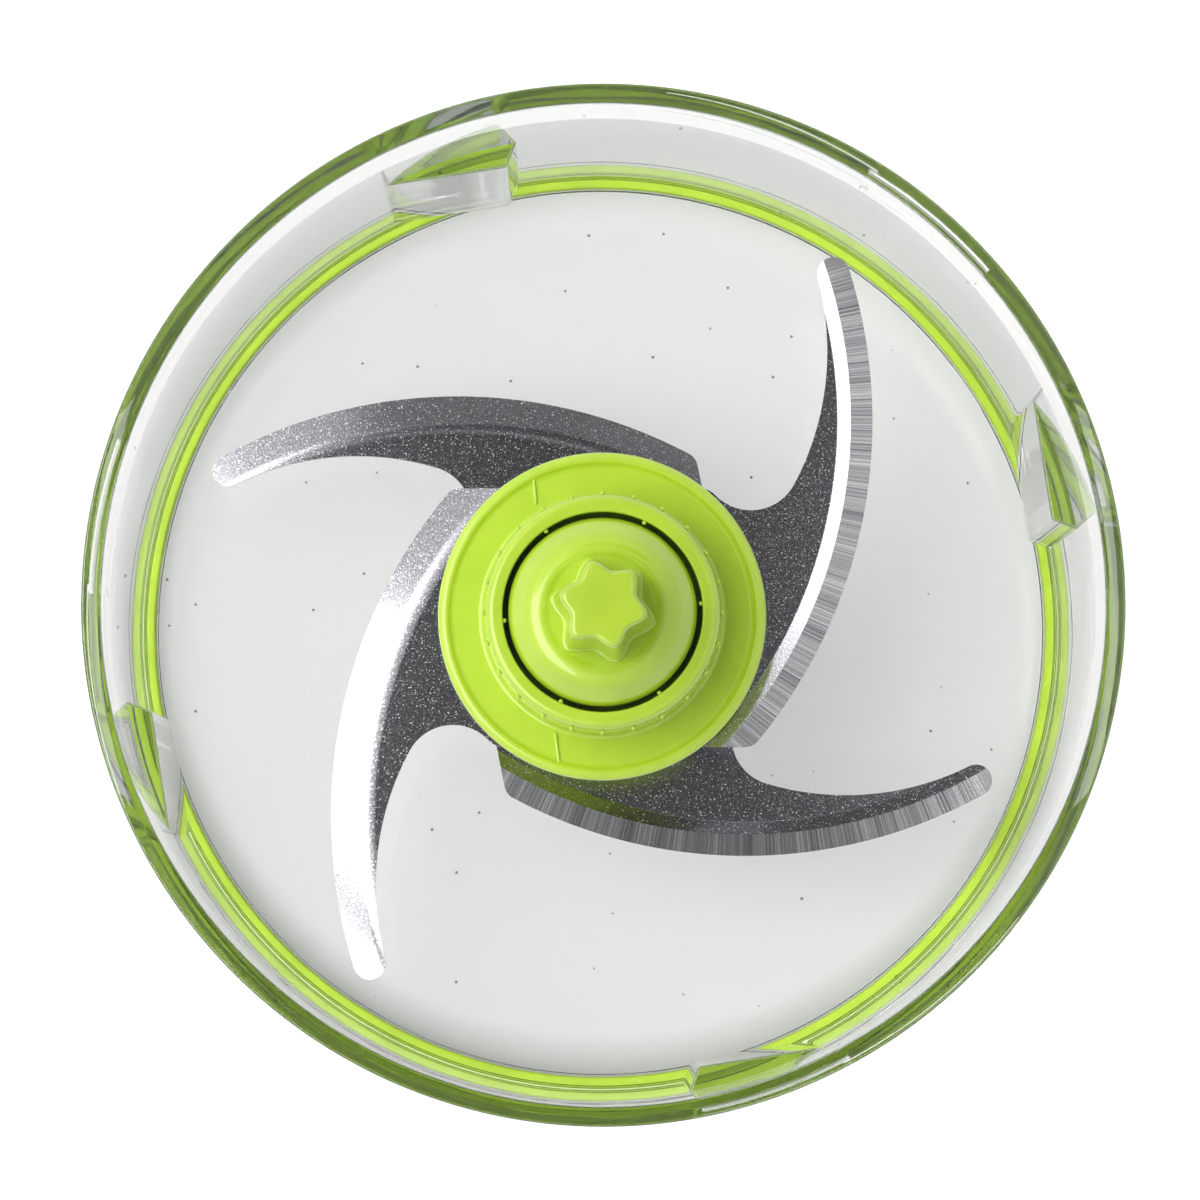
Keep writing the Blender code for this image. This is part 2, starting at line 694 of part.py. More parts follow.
def make_blank(shape, tools):
    """Mesh of an S-shaped blade without its hole: one arm bent up and one bent down."""
    blank = make_arm("raised_arm", 0.0, 1, shape, tools)
    boolean(blank, make_arm("lowered_arm", 180.0, -1, shape, tools), "UNION")
    bpy.context.view_layer.update()
    shaped = blank.evaluated_get(bpy.context.evaluated_depsgraph_get())
    return bpy.data.meshes.new_from_object(shaped)


def make_blade(name, blank, middle, turned_by, parts, tools):
    """Blade at its height and angle on the hub's tube, with the hole that keys it there."""
    blade = place(name, blank.copy(), parts, middle)
    blade.rotation_euler.z = math.radians(turned_by)
    boolean(blade, make_blade_hole(name, middle, tools), "DIFFERENCE")
    return blade


def make_blade_hole(name, middle, tools):
    """Round hole with two flats, to fit the hub's tube."""
    flat = tube_flat + GAP
    limit = math.degrees(math.asin(flat / sleeve_bore))
    outline = arc((0, 0), sleeve_bore, -limit, limit, 12)
    outline += arc((0, 0), sleeve_bore, 180.0 - limit, 180.0 + limit, 12)
    deep = 8 * BLADE_THICKNESS
    return plate(name + "_hole", outline, middle - deep, middle + deep, tools)


def main():
    """Builds every piece and hangs it from the empty that it moves with."""
    for item in list(bpy.data.objects):
        bpy.data.objects.remove(item)
    parts = collection("food_chopper")
    tools = collection("cutters", hidden=True)
    shape = BladeShape()
    blank = make_blank(shape, tools)
    pieces = {
        "bowl_frame": [
            (make_bowl(parts, tools), CLEAR_PLASTIC),
            (make_base_ring(parts), GREEN_RUBBER),
            (make_spindle_pin(parts), POLISHED_STEEL),
        ],
        "spin_axis": [
            (make_drive_shaft(parts, tools), GREEN_PLASTIC),
            (make_tube("upper_bush", bush_bore, upper_bush_radius,
                       upper_bush_top - BUSH_LENGTH, upper_bush_top, parts), WHITE_PLASTIC),
            (make_tube("lower_bush", bush_bore, lower_bush_radius,
                       shaft_bottom + GAP, shaft_bottom + GAP + BUSH_LENGTH, parts),
             WHITE_PLASTIC),
            (make_thrust_pad(parts), POLISHED_STEEL),
        ],
        "twist_axis": [
            (make_hub(shape.crease_clearance(), parts, tools), GREEN_PLASTIC),
            (make_blade("upper_blade", blank, upper_blade_middle, 0.0, parts, tools), STEEL),
            (make_tube("spacer_sleeve", sleeve_bore, sleeve_radius,
                       sleeve_bottom, sleeve_top, parts), GREEN_PLASTIC),
            (make_blade("lower_blade", blank, lower_blade_middle, LOWER_BLADE_TURN, parts, tools),
             STEEL),
            (make_tube("bottom_collar", sleeve_bore, bottom_collar_radius,
                       tube_shoulder, bottom_collar_top, parts, BOTTOM_COLLAR_CHAMFER),
             GREEN_PLASTIC),
        ],
    }
    holders = {"spin_axis": "bowl_frame", "twist_axis": "spin_axis"}
    axes = {}
    for name, held in pieces.items():
        axes[name] = place(name, None, parts)
        axes[name].parent = axes.get(holders.get(name))
        for piece, finish in held:
            piece.parent = axes[name]
            piece.data.materials.clear()
            piece.data.materials.append(material(piece.name, finish))


main()
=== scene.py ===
"""Dressed model of a food chopper: a clear bowl on a green foot ring with its unit of two blades.

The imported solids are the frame. Each sub-assembly models the finished form of its pieces over
them, dresses them in procedural finishes and hangs them on the body that they move with. Sizes
are metres and angles degrees; +Z is up and the spindle stands on the Z axis.
"""

import json
import logging
import math
from collections.abc import Callable, Iterator, Sequence
from contextlib import contextmanager
from dataclasses import dataclass, field
from enum import Enum

import bmesh
import bpy
from mathutils import Matrix, Vector

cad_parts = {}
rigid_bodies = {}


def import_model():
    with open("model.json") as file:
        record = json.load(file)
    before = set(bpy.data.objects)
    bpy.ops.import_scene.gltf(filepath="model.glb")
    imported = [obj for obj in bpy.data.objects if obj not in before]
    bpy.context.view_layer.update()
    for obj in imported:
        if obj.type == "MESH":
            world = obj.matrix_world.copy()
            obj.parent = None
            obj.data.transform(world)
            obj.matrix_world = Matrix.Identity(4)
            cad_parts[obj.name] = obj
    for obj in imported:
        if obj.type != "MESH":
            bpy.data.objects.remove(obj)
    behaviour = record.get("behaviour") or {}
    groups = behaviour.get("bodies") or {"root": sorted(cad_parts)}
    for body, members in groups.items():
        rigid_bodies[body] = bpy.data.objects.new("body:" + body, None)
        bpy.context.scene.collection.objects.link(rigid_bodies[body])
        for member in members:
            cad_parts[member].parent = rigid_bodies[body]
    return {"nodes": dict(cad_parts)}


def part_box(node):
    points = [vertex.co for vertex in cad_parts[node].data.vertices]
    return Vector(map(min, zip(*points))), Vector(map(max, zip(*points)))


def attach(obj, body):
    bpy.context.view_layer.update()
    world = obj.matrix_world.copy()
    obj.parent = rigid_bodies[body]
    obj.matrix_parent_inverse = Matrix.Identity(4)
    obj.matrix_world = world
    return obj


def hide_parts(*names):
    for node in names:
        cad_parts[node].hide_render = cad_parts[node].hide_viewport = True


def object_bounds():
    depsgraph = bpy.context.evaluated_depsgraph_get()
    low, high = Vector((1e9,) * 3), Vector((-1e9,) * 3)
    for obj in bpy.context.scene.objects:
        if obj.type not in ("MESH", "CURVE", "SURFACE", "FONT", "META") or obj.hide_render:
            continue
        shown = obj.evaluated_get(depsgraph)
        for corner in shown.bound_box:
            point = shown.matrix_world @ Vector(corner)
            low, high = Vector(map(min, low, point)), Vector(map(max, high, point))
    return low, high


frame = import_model()
CAD_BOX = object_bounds()

LOG = logging.getLogger("food_chopper")
UP = (0.0, 0.0, 1.0)
AXIS = (0.0, 0.0, 0.0)
# Side of the small plane that a drawing's first vertex is merged from
SEED = 0.001
# Vertices nearer than this are one, and a pressed seat keeps this much air
WELD = 0.000001
SEAT = 0.00002
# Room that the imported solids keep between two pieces
GAP = 0.0003
# How far a cutter or a root reaches past a face
PAST = 0.0002
# Inner and outer radius of the bowl's tongue, which the foot ring holds
TONGUE = (0.06185, 0.06265)
# Facets of a whole turn of the bowl, the hub and the rings on its tube
FINE_TURN = 240
HUB_TURN = 160
RING_TURN = 144
# Angle at which a drawn circle has its first vertex
CIRCLE_START = 90.0
# Range that holds most of an even noise
NOISE_BODY = (0.3, 0.7)
# Sockets of a node that mixes colours
MIX_SHARE, MIX_FIRST, MIX_SECOND, MIX_RESULT = 0, 6, 7, 2


class Body(Enum):
    """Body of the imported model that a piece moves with."""

    BOWL = "bowl_frame"
    DRIVE = "drive_unit"
    BLADES = "blade_carrier"


class Joining(Enum):
    """How one solid changes another."""

    UNITE = "UNION"
    CUT = "DIFFERENCE"
    KEEP_COMMON = "INTERSECT"


@dataclass(frozen=True)
class Rounding:
    """Radius of a rounded corner and its facets."""

    radius: float
    facets: int = 5


SHARP = Rounding(0.0)
FINE_EDGE = Rounding(0.0001, 2)
CUT_EDGE = Rounding(0.0002, 2)
MOULD_EDGE = Rounding(0.0003, 3)
SOFT_EDGE = Rounding(0.0004)


@dataclass(frozen=True)
class Corner:
    """Corner of a turned profile."""

    radius: float
    height: float
    rounding: Rounding = SHARP


def polar(radius: float, degrees: float, centre: Sequence[float] = AXIS) -> Vector:
    """Finds the point at a radius and an angle from a centre.

    Args:
        radius: Distance from the centre.
        degrees: Angle from +X towards +Y.
        centre: Centre of the circle.

    Returns:
        The point, at the centre's height.
    """
    angle = math.radians(degrees)
    return Vector(centre) + Vector((radius * math.cos(angle), radius * math.sin(angle), 0.0))


def bearing(centre: Sequence[float], point: Sequence[float]) -> float:
    """Measures the angle of a point as seen from a centre.

    Args:
        centre: Where the angle is measured.
        point: What is looked at.

    Returns:
        The angle in degrees from +X towards +Y.
    """
    return math.degrees(math.atan2(point[1] - centre[1], point[0] - centre[0]))


def farthest(node: str) -> float:
    """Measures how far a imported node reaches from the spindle's axis.

    Args:
        node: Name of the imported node.

    Returns:
        The largest radius of its vertices.
    """
    return max(math.hypot(v.co.x, v.co.y) for v in frame["nodes"][node].data.vertices)


class Workpiece:
    """A mesh shaped with edit-mode tools, its object at the origin and unturned."""

    def __init__(self, name: str, made: bpy.types.Object) -> None:
        """Takes a new object on the bench.

        Args:
            name: Name of the piece.
            made: The object.
        """
        self.obj = made
        made.name = made.data.name = name
        self.end = Vector(AXIS)

    @staticmethod
    def clear_bench() -> None:
        """Deselects every object, so that a tool acts on the new one alone."""
        for other in bpy.context.scene.objects:
            other.select_set(False)

    @classmethod
    def start(cls, name: str, point: Sequence[float]) -> "Workpiece":
        """Begins a drawing with one vertex: a small plane merged at its centre.

        Args:
            name: Name of the piece.
            point: Where the drawing starts.

        Returns:
            The workpiece, with its one vertex selected.
        """
        cls.clear_bench()
        bpy.ops.mesh.primitive_plane_add(size=SEED, location=point)
        piece = cls(name, bpy.context.object)
        piece.apply_place()
        with piece.editing():
            bpy.ops.mesh.select_mode(type="VERT")
            bpy.ops.mesh.select_all(action="SELECT")
            bpy.ops.mesh.merge(type="CENTER")
        piece.end = Vector(point)
        return piece

    @classmethod
    def block(
        cls, name: str, size: Sequence[float], middle: Sequence[float], turn: float = 0.0
    ) -> "Workpiece":
        """Adds a block.

        Args:
            name: Name of the piece.
            size: Its three sides.
            middle: Where its middle is.
            turn: How far it is turned about its own upright axis.

        Returns:
            The workpiece.
        """
        cls.clear_bench()
        bpy.ops.mesh.primitive_cube_add(size=1.0, location=middle)
        piece = cls(name, bpy.context.object)
        piece.obj.scale = size
        piece.obj.rotation_euler.z = math.radians(turn)
        piece.apply_place()
        return piece

    @classmethod
    def sector(
        cls, name: str, span: tuple[float, float], radii: tuple[float, float],
        heights: tuple[float, float], steps: int,
    ) -> "Workpiece":
        """Draws part of a ring between two angles and makes it a solid.

        Args:
            name: Name of the piece.
            span: Its first and last angle.
            radii: Its outer and inner radius.
            heights: Its foot and top.
            steps: Facets along each arc.

        Returns:
            The workpiece.
        """
        (first, last), (outer, inner), (low, high) = span, radii, heights
        foot = Vector((0.0, 0.0, low))
        start = polar(outer, first, foot)
        piece = cls.start(name, start)
        with piece.editing():
            piece.arc(foot, last - first, steps)
            piece.line_to(polar(inner, last, foot))
            piece.arc(foot, first - last, steps)
            piece.line_to(start)
            piece.fill(high - low)
        return piece

    @classmethod
    def turned(
        cls, name: str, corners: Sequence[Corner], steps: int, ring: bool = False,
        centre: Sequence[float] = AXIS,
    ) -> "Workpiece":
        """Draws a profile in the XZ plane, rounds its corners and spins it.

        Args:
            name: Name of the piece.
            corners: The profile, from the axis outwards or round a ring's section.
            steps: Facets round the axis.
            ring: True if the profile closes on itself.
            centre: Point on the axis of the spin.

        Returns:
            The workpiece, closed and facing out.
        """
        points = [Vector((c.radius + centre[0], centre[1], c.height)) for c in corners]
        piece = cls.start(name, points[0])
        with piece.editing():
            for point in points[1:] + points[:1] * ring:
                piece.line_to(point)
            piece.weld()
            for i, corner in enumerate(corners):
                if corner.rounding.radius:
                    piece.round_corner(points, i, corner)
            bpy.ops.mesh.select_all(action="SELECT")
            bpy.ops.mesh.spin(steps=steps, angle=math.tau, center=centre, axis=UP)
            piece.weld()
            piece.face_out()
        return piece

    def pick_up(self) -> None:
        """Selects this piece alone and makes it the active one."""
        self.clear_bench()
        self.obj.select_set(True)
        bpy.context.view_layer.objects.active = self.obj

    @contextmanager
    def editing(self) -> Iterator[None]:
        """Holds this piece alone in edit mode."""
        self.pick_up()
        bpy.ops.object.mode_set(mode="EDIT")
        try:
            yield
        finally:
            bpy.ops.object.mode_set(mode="OBJECT")

    def apply_place(self) -> None:
        """Moves the object's place, turn and scale into its mesh."""
        self.pick_up()
        bpy.ops.object.transform_apply(location=True, rotation=True, scale=True)

    def line_to(self, point: Sequence[float]) -> None:
        """Extrudes the drawing's selected end to a point.

        Args:
            point: Where the new edge ends.
        """
        step = Vector(point) - self.end
        bpy.ops.mesh.extrude_vertices_move(TRANSFORM_OT_translate={"value": step})
        self.end = Vector(point)

    def arc(self, centre: Sequence[float], degrees: float, steps: int) -> None:
        """Spins the drawing's selected end about a centre, leaving an arc behind it.

        Args:
            centre: Centre of the arc.
            degrees: How far it turns, anticlockwise from above if positive.
            steps: Edges along the arc.
        """
        bpy.ops.mesh.spin(steps=steps, angle=-math.radians(degrees), center=centre, axis=UP)
        radius = (self.end - Vector(centre)).length
        self.end = polar(radius, bearing(centre, self.end) + degrees, centre)

    def weld(self) -> None:
        """Merges the vertices that lie in one place."""
        bpy.ops.mesh.select_all(action="SELECT")
        bpy.ops.mesh.remove_doubles(threshold=WELD)

    def face_out(self) -> None:
        """Turns every face outwards."""
        bpy.ops.mesh.select_all(action="SELECT")
        bpy.ops.mesh.normals_make_consistent(inside=False)

    def select(self, kind: str, test: Callable[[bmesh.types.BMVert], bool]) -> int:
        """Selects the vertices that pass a test, or the edges whose two vertices do.

        Args:
            kind: VERT or EDGE.
            test: What a vertex has to pass.

        Returns:
            How many are selected.
        """
        bpy.ops.mesh.select_mode(type=kind)
        bpy.ops.mesh.select_all(action="DESELECT")
        mesh = bmesh.from_edit_mesh(self.obj.data)
        if kind == "VERT":
            found = [v for v in mesh.verts if test(v)]
        else:
            found = [e for e in mesh.edges if all(test(v) for v in e.verts)]
        for element in found:
            element.select_set(True)
        mesh.select_flush_mode()
        bmesh.update_edit_mesh(self.obj.data)
        return len(found)

    def round_corner(self, points: Sequence[Vector], index: int, corner: Corner) -> None:
        """Rounds one corner of the drawn profile with a vertex bevel.

        Args:
            points: The profile's corners.
            index: Which corner.
            corner: Its rounding.
        """
        here = points[index]
        into = (here - points[index - 1]).normalized()
        out = (points[(index + 1) % len(points)] - here).normalized()
        setback = corner.rounding.radius * math.tan(into.angle(out) / 2)
        self.select("VERT", lambda v: (v.co - here).length < WELD)
        bpy.ops.mesh.bevel(
            offset=setback, offset_type="OFFSET", segments=corner.rounding.facets,
            affect="VERTICES",
        )

    def fill(self, thickness: float) -> None:
        """Fills the closed drawing and extrudes it upwards.

        Args:
            thickness: Height of the plate that this makes.
        """
        self.weld()
        bpy.ops.mesh.edge_face_add()
        bpy.ops.mesh.extrude_region_move(
            TRANSFORM_OT_translate={"value": (0.0, 0.0, thickness)}
        )
        self.face_out()

    def bevel(
        self, test: Callable[[bmesh.types.BMVert], bool], width: float, segments: int = 3
    ) -> None:
        """Rounds the edges whose two vertices pass a test.

        Args:
            test: What both vertices have to pass.
            width: Setback of the rounding.
            segments: Facets across it.
        """
        with self.editing():
            if self.select("EDGE", test):
                bpy.ops.mesh.bevel(offset=width, segments=segments, affect="EDGES")

    def join(self, other: "Workpiece", joining: Joining) -> None:
        """Changes this piece with another, which is used up.

        Args:
            other: The tool.
            joining: How it changes this piece.
        """
        change = self.obj.modifiers.new(other.obj.name, "BOOLEAN")
        change.object = other.obj
        change.operation = joining.value
        change.solver = "EXACT"
        self.apply(change)
        bpy.data.objects.remove(other.obj)

    def apply(self, change: bpy.types.Modifier) -> None:
        """Applies a modifier.

        Args:
            change: The modifier, which is on this piece.
        """
        self.pick_up()
        bpy.ops.object.modifier_apply(modifier=change.name)

    def gather(self, others: Sequence["Workpiece"]) -> None:
        """Joins other pieces to this one as loose solids.

        Args:
            others: The pieces, which are used up.
        """
        self.pick_up()
        for piece in others:
            piece.obj.select_set(True)
        bpy.ops.object.join()

    def copy_turned(self, degrees: float) -> "Workpiece":
        """Copies the piece, with its own mesh, turned about the spindle's axis.

        Args:
            degrees: How far the copy is turned.

        Returns:
            The copy.
        """
        made = self.obj.copy()
        made.data = self.obj.data.copy()
        bpy.context.scene.collection.objects.link(made)
        made.rotation_euler.z = math.radians(degrees)
        piece = Workpiece(self.obj.name, made)
        piece.apply_place()
        return piece

    def soften_edges(self, width: float, segments: int = 2, angle: float = 35.0) -> None:
        """Rounds every edge that is sharper than an angle.

        Args:
            width: Setback of the rounding.
            segments: Facets across it.
            angle: The least angle between two faces that is rounded.
        """
        change = self.obj.modifiers.new("soft_edges", "BEVEL")
        change.width = width
        change.segments = segments
        change.limit_method = "ANGLE"
        change.angle_limit = math.radians(angle)
        self.apply(change)

    def weigh_normals(self, weight: int = 80) -> None:
        """Lets the large faces set the shading, so that they stay true beside small roundings.

        Args:
            weight: How much more a large face counts, from 50 for no more to 100.
        """
        change = self.obj.modifiers.new("true_faces", "WEIGHTED_NORMAL")
        change.weight = weight
        change.keep_sharp = True
        self.apply(change)

    def finish(
        self, body: Body, nodes: Sequence[str], slot: str, finishes: Sequence[bpy.types.Material],
        smooth_angle: float = 30.0,
    ) -> bpy.types.Object:
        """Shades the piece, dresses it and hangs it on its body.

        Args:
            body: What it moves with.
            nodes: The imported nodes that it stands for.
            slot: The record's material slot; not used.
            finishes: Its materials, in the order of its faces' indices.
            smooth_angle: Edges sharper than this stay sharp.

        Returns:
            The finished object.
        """
        self.pick_up()
        bpy.ops.object.shade_smooth_by_angle(angle=math.radians(smooth_angle))
        self.weigh_normals()
        for material in finishes:
            self.obj.data.materials.append(material)
        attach(self.obj, body.value)
        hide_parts(*nodes)
        LOG.info("%s: %d faces on %s", self.obj.name, len(self.obj.data.polygons), body.value)
        return self.obj


def linear(code: str) -> tuple[float, float, float, float]:
    """Turns an sRGB hex colour to linear light.

    Args:
        code: Colour as six hex digits after a hash.

    Returns:
        Linear red, green and blue, and a full alpha.
    """
    shares = [int(code[i : i + 2], 16) / 255 for i in (1, 3, 5)]
    red, green, blue = (s / 12.92 if s <= 0.04045 else ((s + 0.055) / 1.055) ** 2.4 for s in shares)
    return (red, green, blue, 1.0)


def add_node(
    tree: bpy.types.NodeTree, kind: str, settings: dict | None = None, inputs: dict | None = None
) -> bpy.types.Node:
    """Adds a node with its settings and links.

    Args:
        tree: Where it goes.
        kind: Its type.
        settings: Values of the node itself, by name.
        inputs: Values, sockets, or nodes whose first output is meant, by the input's name or index.

    Returns:
        The node.
    """
    node = tree.nodes.new(kind)
    for name, value in (settings or {}).items():
        setattr(node, name, value)
    for key, value in (inputs or {}).items():
        if isinstance(value, bpy.types.Node):
            value = value.outputs[0]
        if isinstance(value, bpy.types.NodeSocket):
            tree.links.new(value, node.inputs[key])
        else:
            node.inputs[key].default_value = value
    return node


def new_tree(name: str) -> tuple[bpy.types.Material, bpy.types.NodeTree, bpy.types.Node]:
    """Makes an empty material.

    Args:
        name: Name of the material.

    Returns:
        The material, its node tree and its output node.
    """
    material = bpy.data.materials.new(name)
    material.use_nodes = True
    tree = material.node_tree
    tree.nodes.clear()
    return material, tree, tree.nodes.new("ShaderNodeOutputMaterial")


@dataclass(frozen=True)
class ClearStyrene:
    """Styrene-acrylonitrile, moulded in polished steel: glass-clear, with a few trapped specks."""

    tint: str = "#fdfdfd"
    speck: str = "#5f6258"
    shadow: str = "#fafafa"
    roughness: float = 0.012
    ior: float = 1.57
    clearness: float = 0.992
    speck_spacing: float = 0.0058
    speck_radius: float = 0.00016
    speck_fade: float = 1.6
    ripple_size: float = 0.009
    ripple_depth: float = 0.00001
    depth_tint: str = "#e0e3e0"
    depth_loss: float = 44.0

    def material(self) -> bpy.types.Material:
        """Makes the material: clear to sight, and thin to the light of lamps.

        Returns:
            The material.
        """
        material, tree, output = new_tree("clear_moulded_styrene")
        place = add_node(tree, "ShaderNodeTexCoord").outputs["Object"]
        cells = add_node(
            tree, "ShaderNodeTexVoronoi", inputs={"Vector": place, "Scale": 1 / self.speck_spacing}
        )
        edge = self.speck_radius / self.speck_spacing
        specks = add_node(
            tree, "ShaderNodeMapRange",
            inputs={
                "Value": cells, "From Min": edge, "From Max": edge * self.speck_fade,
                "To Min": 1.0, "To Max": 0.0,
            },
        )
        colour = add_node(
            tree, "ShaderNodeMix", {"data_type": "RGBA"},
            {
                MIX_SHARE: specks, MIX_FIRST: linear(self.tint), MIX_SECOND: linear(self.speck),
            },
        )
        ripple = add_node(
            tree, "ShaderNodeTexNoise",
            inputs={"Vector": place, "Scale": 1 / self.ripple_size, "Detail": 1.0},
        )
        bump = add_node(
            tree, "ShaderNodeBump", inputs={"Height": ripple, "Distance": self.ripple_depth}
        )
        clear = add_node(
            tree, "ShaderNodeBsdfPrincipled",
            inputs={
                "Base Color": colour.outputs[MIX_RESULT], "Roughness": self.roughness,
                "IOR": self.ior, "Transmission Weight": self.clearness, "Normal": bump,
            },
        )
        through = add_node(tree, "ShaderNodeBsdfTransparent", inputs={"Color": linear(self.shadow)})
        rays = add_node(tree, "ShaderNodeLightPath")
        surface = add_node(
            tree, "ShaderNodeMixShader",
            inputs={0: rays.outputs["Is Shadow Ray"], 1: clear, 2: through},
        )
        tree.links.new(surface.outputs[0], output.inputs["Surface"])
        depth = add_node(
            tree, "ShaderNodeVolumeAbsorption",
            inputs={"Color": linear(self.depth_tint), "Density": self.depth_loss},
        )
        tree.links.new(depth.outputs[0], output.inputs["Volume"])
        return material


@dataclass(frozen=True)
class MouldedPlastic:
    """Filled plastic from a mould: an even colour under a soft gloss, with a very fine grain."""

    name: str
    colour: str
    cloud: str
    roughness: tuple[float, float]
    grain_size: float = 0.00025
    grain_depth: float = 0.000004
    cloud_size: float = 0.006
    cloud_body: tuple[float, float] = (0.35, 0.65)
    ior: float = 1.50
    skin: float = 0.0
    skin_roughness: float = 0.07

    def material(self) -> bpy.types.Material:
        """Makes the material.

        Returns:
            The material.
        """
        material, tree, output = new_tree(self.name)
        place = add_node(tree, "ShaderNodeTexCoord").outputs["Object"]
        clouds = add_node(
            tree, "ShaderNodeTexNoise",
            inputs={"Vector": place, "Scale": 1 / self.cloud_size, "Detail": 3.0},
        )
        share = add_node(
            tree, "ShaderNodeMapRange",
            inputs={
                "Value": clouds, "From Min": self.cloud_body[0], "From Max": self.cloud_body[1],
            },
        )
        colour = add_node(
            tree, "ShaderNodeMix", {"data_type": "RGBA"},
            {
                MIX_SHARE: share, MIX_FIRST: linear(self.colour), MIX_SECOND: linear(self.cloud),
            },
        )
        fine = add_node(
            tree, "ShaderNodeTexNoise", inputs={"Vector": place, "Scale": 1 / self.grain_size}
        )
        gloss = add_node(
            tree, "ShaderNodeMapRange",
            inputs={
                "Value": fine, "From Min": NOISE_BODY[0], "From Max": NOISE_BODY[1],
                "To Min": self.roughness[0], "To Max": self.roughness[1],
            },
        )
        bump = add_node(
            tree, "ShaderNodeBump", inputs={"Height": fine, "Distance": self.grain_depth}
        )
        shader = add_node(
            tree, "ShaderNodeBsdfPrincipled",
            inputs={
                "Base Color": colour.outputs[MIX_RESULT], "Roughness": gloss, "IOR": self.ior,
                "Normal": bump, "Coat Weight": self.skin, "Coat Roughness": self.skin_roughness,
            },
        )
        tree.links.new(shader.outputs[0], output.inputs[0])
        return material


@dataclass(frozen=True)
class RolledSteel:
    """Stainless sheet, stamped and tumbled: a dark mirror, mottled and full of short scratches."""

    light: str = "#b8b7bc"
    dark: str = "#8f8e93"
    roughness: tuple[float, float] = (0.14, 0.19)
    mottle_size: float = 0.00022
    mottle_depth: float = 0.0000003
    fleck_size: float = 0.00022
    fleck_body: tuple[float, float] = (0.62, 0.74)
    fleck_roughness: float = 0.10
    fleck: str = "#f2f2f4"

    def material(self) -> bpy.types.Material:
        """Makes the material.

        Returns:
            The material.
        """
        material, tree, output = new_tree("tumbled_stainless_sheet")
        place = add_node(tree, "ShaderNodeTexCoord").outputs["Object"]
        mottle = add_node(
            tree, "ShaderNodeTexNoise", inputs={"Vector": place, "Scale": 1 / self.mottle_size}
        )
        scratches = add_node(
            tree, "ShaderNodeTexNoise",
            inputs={"Vector": place, "Scale": 1 / self.fleck_size, "Detail": 1.0},
        )
        flecks = add_node(
            tree, "ShaderNodeMapRange",
            inputs={
                "Value": scratches, "From Min": self.fleck_body[0], "From Max": self.fleck_body[1],
            },
        )
        share = add_node(
            tree, "ShaderNodeMapRange",
            inputs={"Value": mottle, "From Min": NOISE_BODY[0], "From Max": NOISE_BODY[1]},
        )
        smooth = add_node(
            tree, "ShaderNodeMapRange",
            inputs={"Value": share, "To Min": self.roughness[0], "To Max": self.roughness[1]},
        )
        rough = add_node(
            tree, "ShaderNodeMath", {"operation": "MULTIPLY_ADD"},
            {0: flecks, 1: self.fleck_roughness, 2: smooth},
        )
        ground = add_node(
            tree, "ShaderNodeMix", {"data_type": "RGBA"},
            {MIX_SHARE: share, MIX_FIRST: linear(self.dark), MIX_SECOND: linear(self.light)},
        )
        colour = add_node(
            tree, "ShaderNodeMix", {"data_type": "RGBA"},
            {
                MIX_SHARE: flecks, MIX_FIRST: ground.outputs[MIX_RESULT],
                MIX_SECOND: linear(self.fleck),
            },
        )
        bump = add_node(
            tree, "ShaderNodeBump", inputs={"Height": mottle, "Distance": self.mottle_depth}
        )
        shader = add_node(
            tree, "ShaderNodeBsdfPrincipled",
            inputs={
                "Base Color": colour.outputs[MIX_RESULT], "Metallic": 1.0, "Roughness": rough,
                "Normal": bump,
            },
        )
        tree.links.new(shader.outputs[0], output.inputs[0])
        return material


@dataclass(frozen=True)
class GroundSteel:
    """Stainless ground across the cutting edge: fine grooves square to the edge, light and dark."""

    light: str = "#dcdcde"
    dark: str = "#6f7074"
    roughness: float = 0.22
    groove: float = 0.00026
    groove_depth: float = 0.000004
    band: float = 0.00234
    band_share: float = 0.5
    band_body: tuple[float, float] = (0.55, 0.95)

    def material(self) -> bpy.types.Material:
        """Makes the material, on the piece's own map along and across the edge.

        Returns:
            The material.
        """
        material, tree, output = new_tree("cross_ground_stainless")
        chart = add_node(tree, "ShaderNodeUVMap", {"uv_map": "along_edge"})
        split = add_node(tree, "ShaderNodeSeparateXYZ", inputs={0: chart})
        along = add_node(tree, "ShaderNodeCombineXYZ", inputs={0: split})
        grooves = add_node(
            tree, "ShaderNodeTexNoise", inputs={"Vector": along, "Scale": 1 / self.groove}
        )
        bands = add_node(
            tree, "ShaderNodeTexNoise",
            inputs={"Vector": along, "Scale": 1 / self.band, "Detail": 1.0},
        )
        both = add_node(
            tree, "ShaderNodeMath", {"operation": "MULTIPLY_ADD"},
            {0: bands, 1: self.band_share, 2: grooves},
        )
        share = add_node(
            tree, "ShaderNodeMapRange",
            inputs={"Value": both, "From Min": self.band_body[0], "From Max": self.band_body[1]},
        )
        colour = add_node(
            tree, "ShaderNodeMix", {"data_type": "RGBA"},
            {MIX_SHARE: share, MIX_FIRST: linear(self.dark), MIX_SECOND: linear(self.light)},
        )
        bump = add_node(
            tree, "ShaderNodeBump", inputs={"Height": grooves, "Distance": self.groove_depth}
        )
        shader = add_node(
            tree, "ShaderNodeBsdfPrincipled",
            inputs={
                "Base Color": colour.outputs[MIX_RESULT], "Metallic": 1.0,
                "Roughness": self.roughness, "Normal": bump,
            },
        )
        tree.links.new(shader.outputs[0], output.inputs[0])
        return material


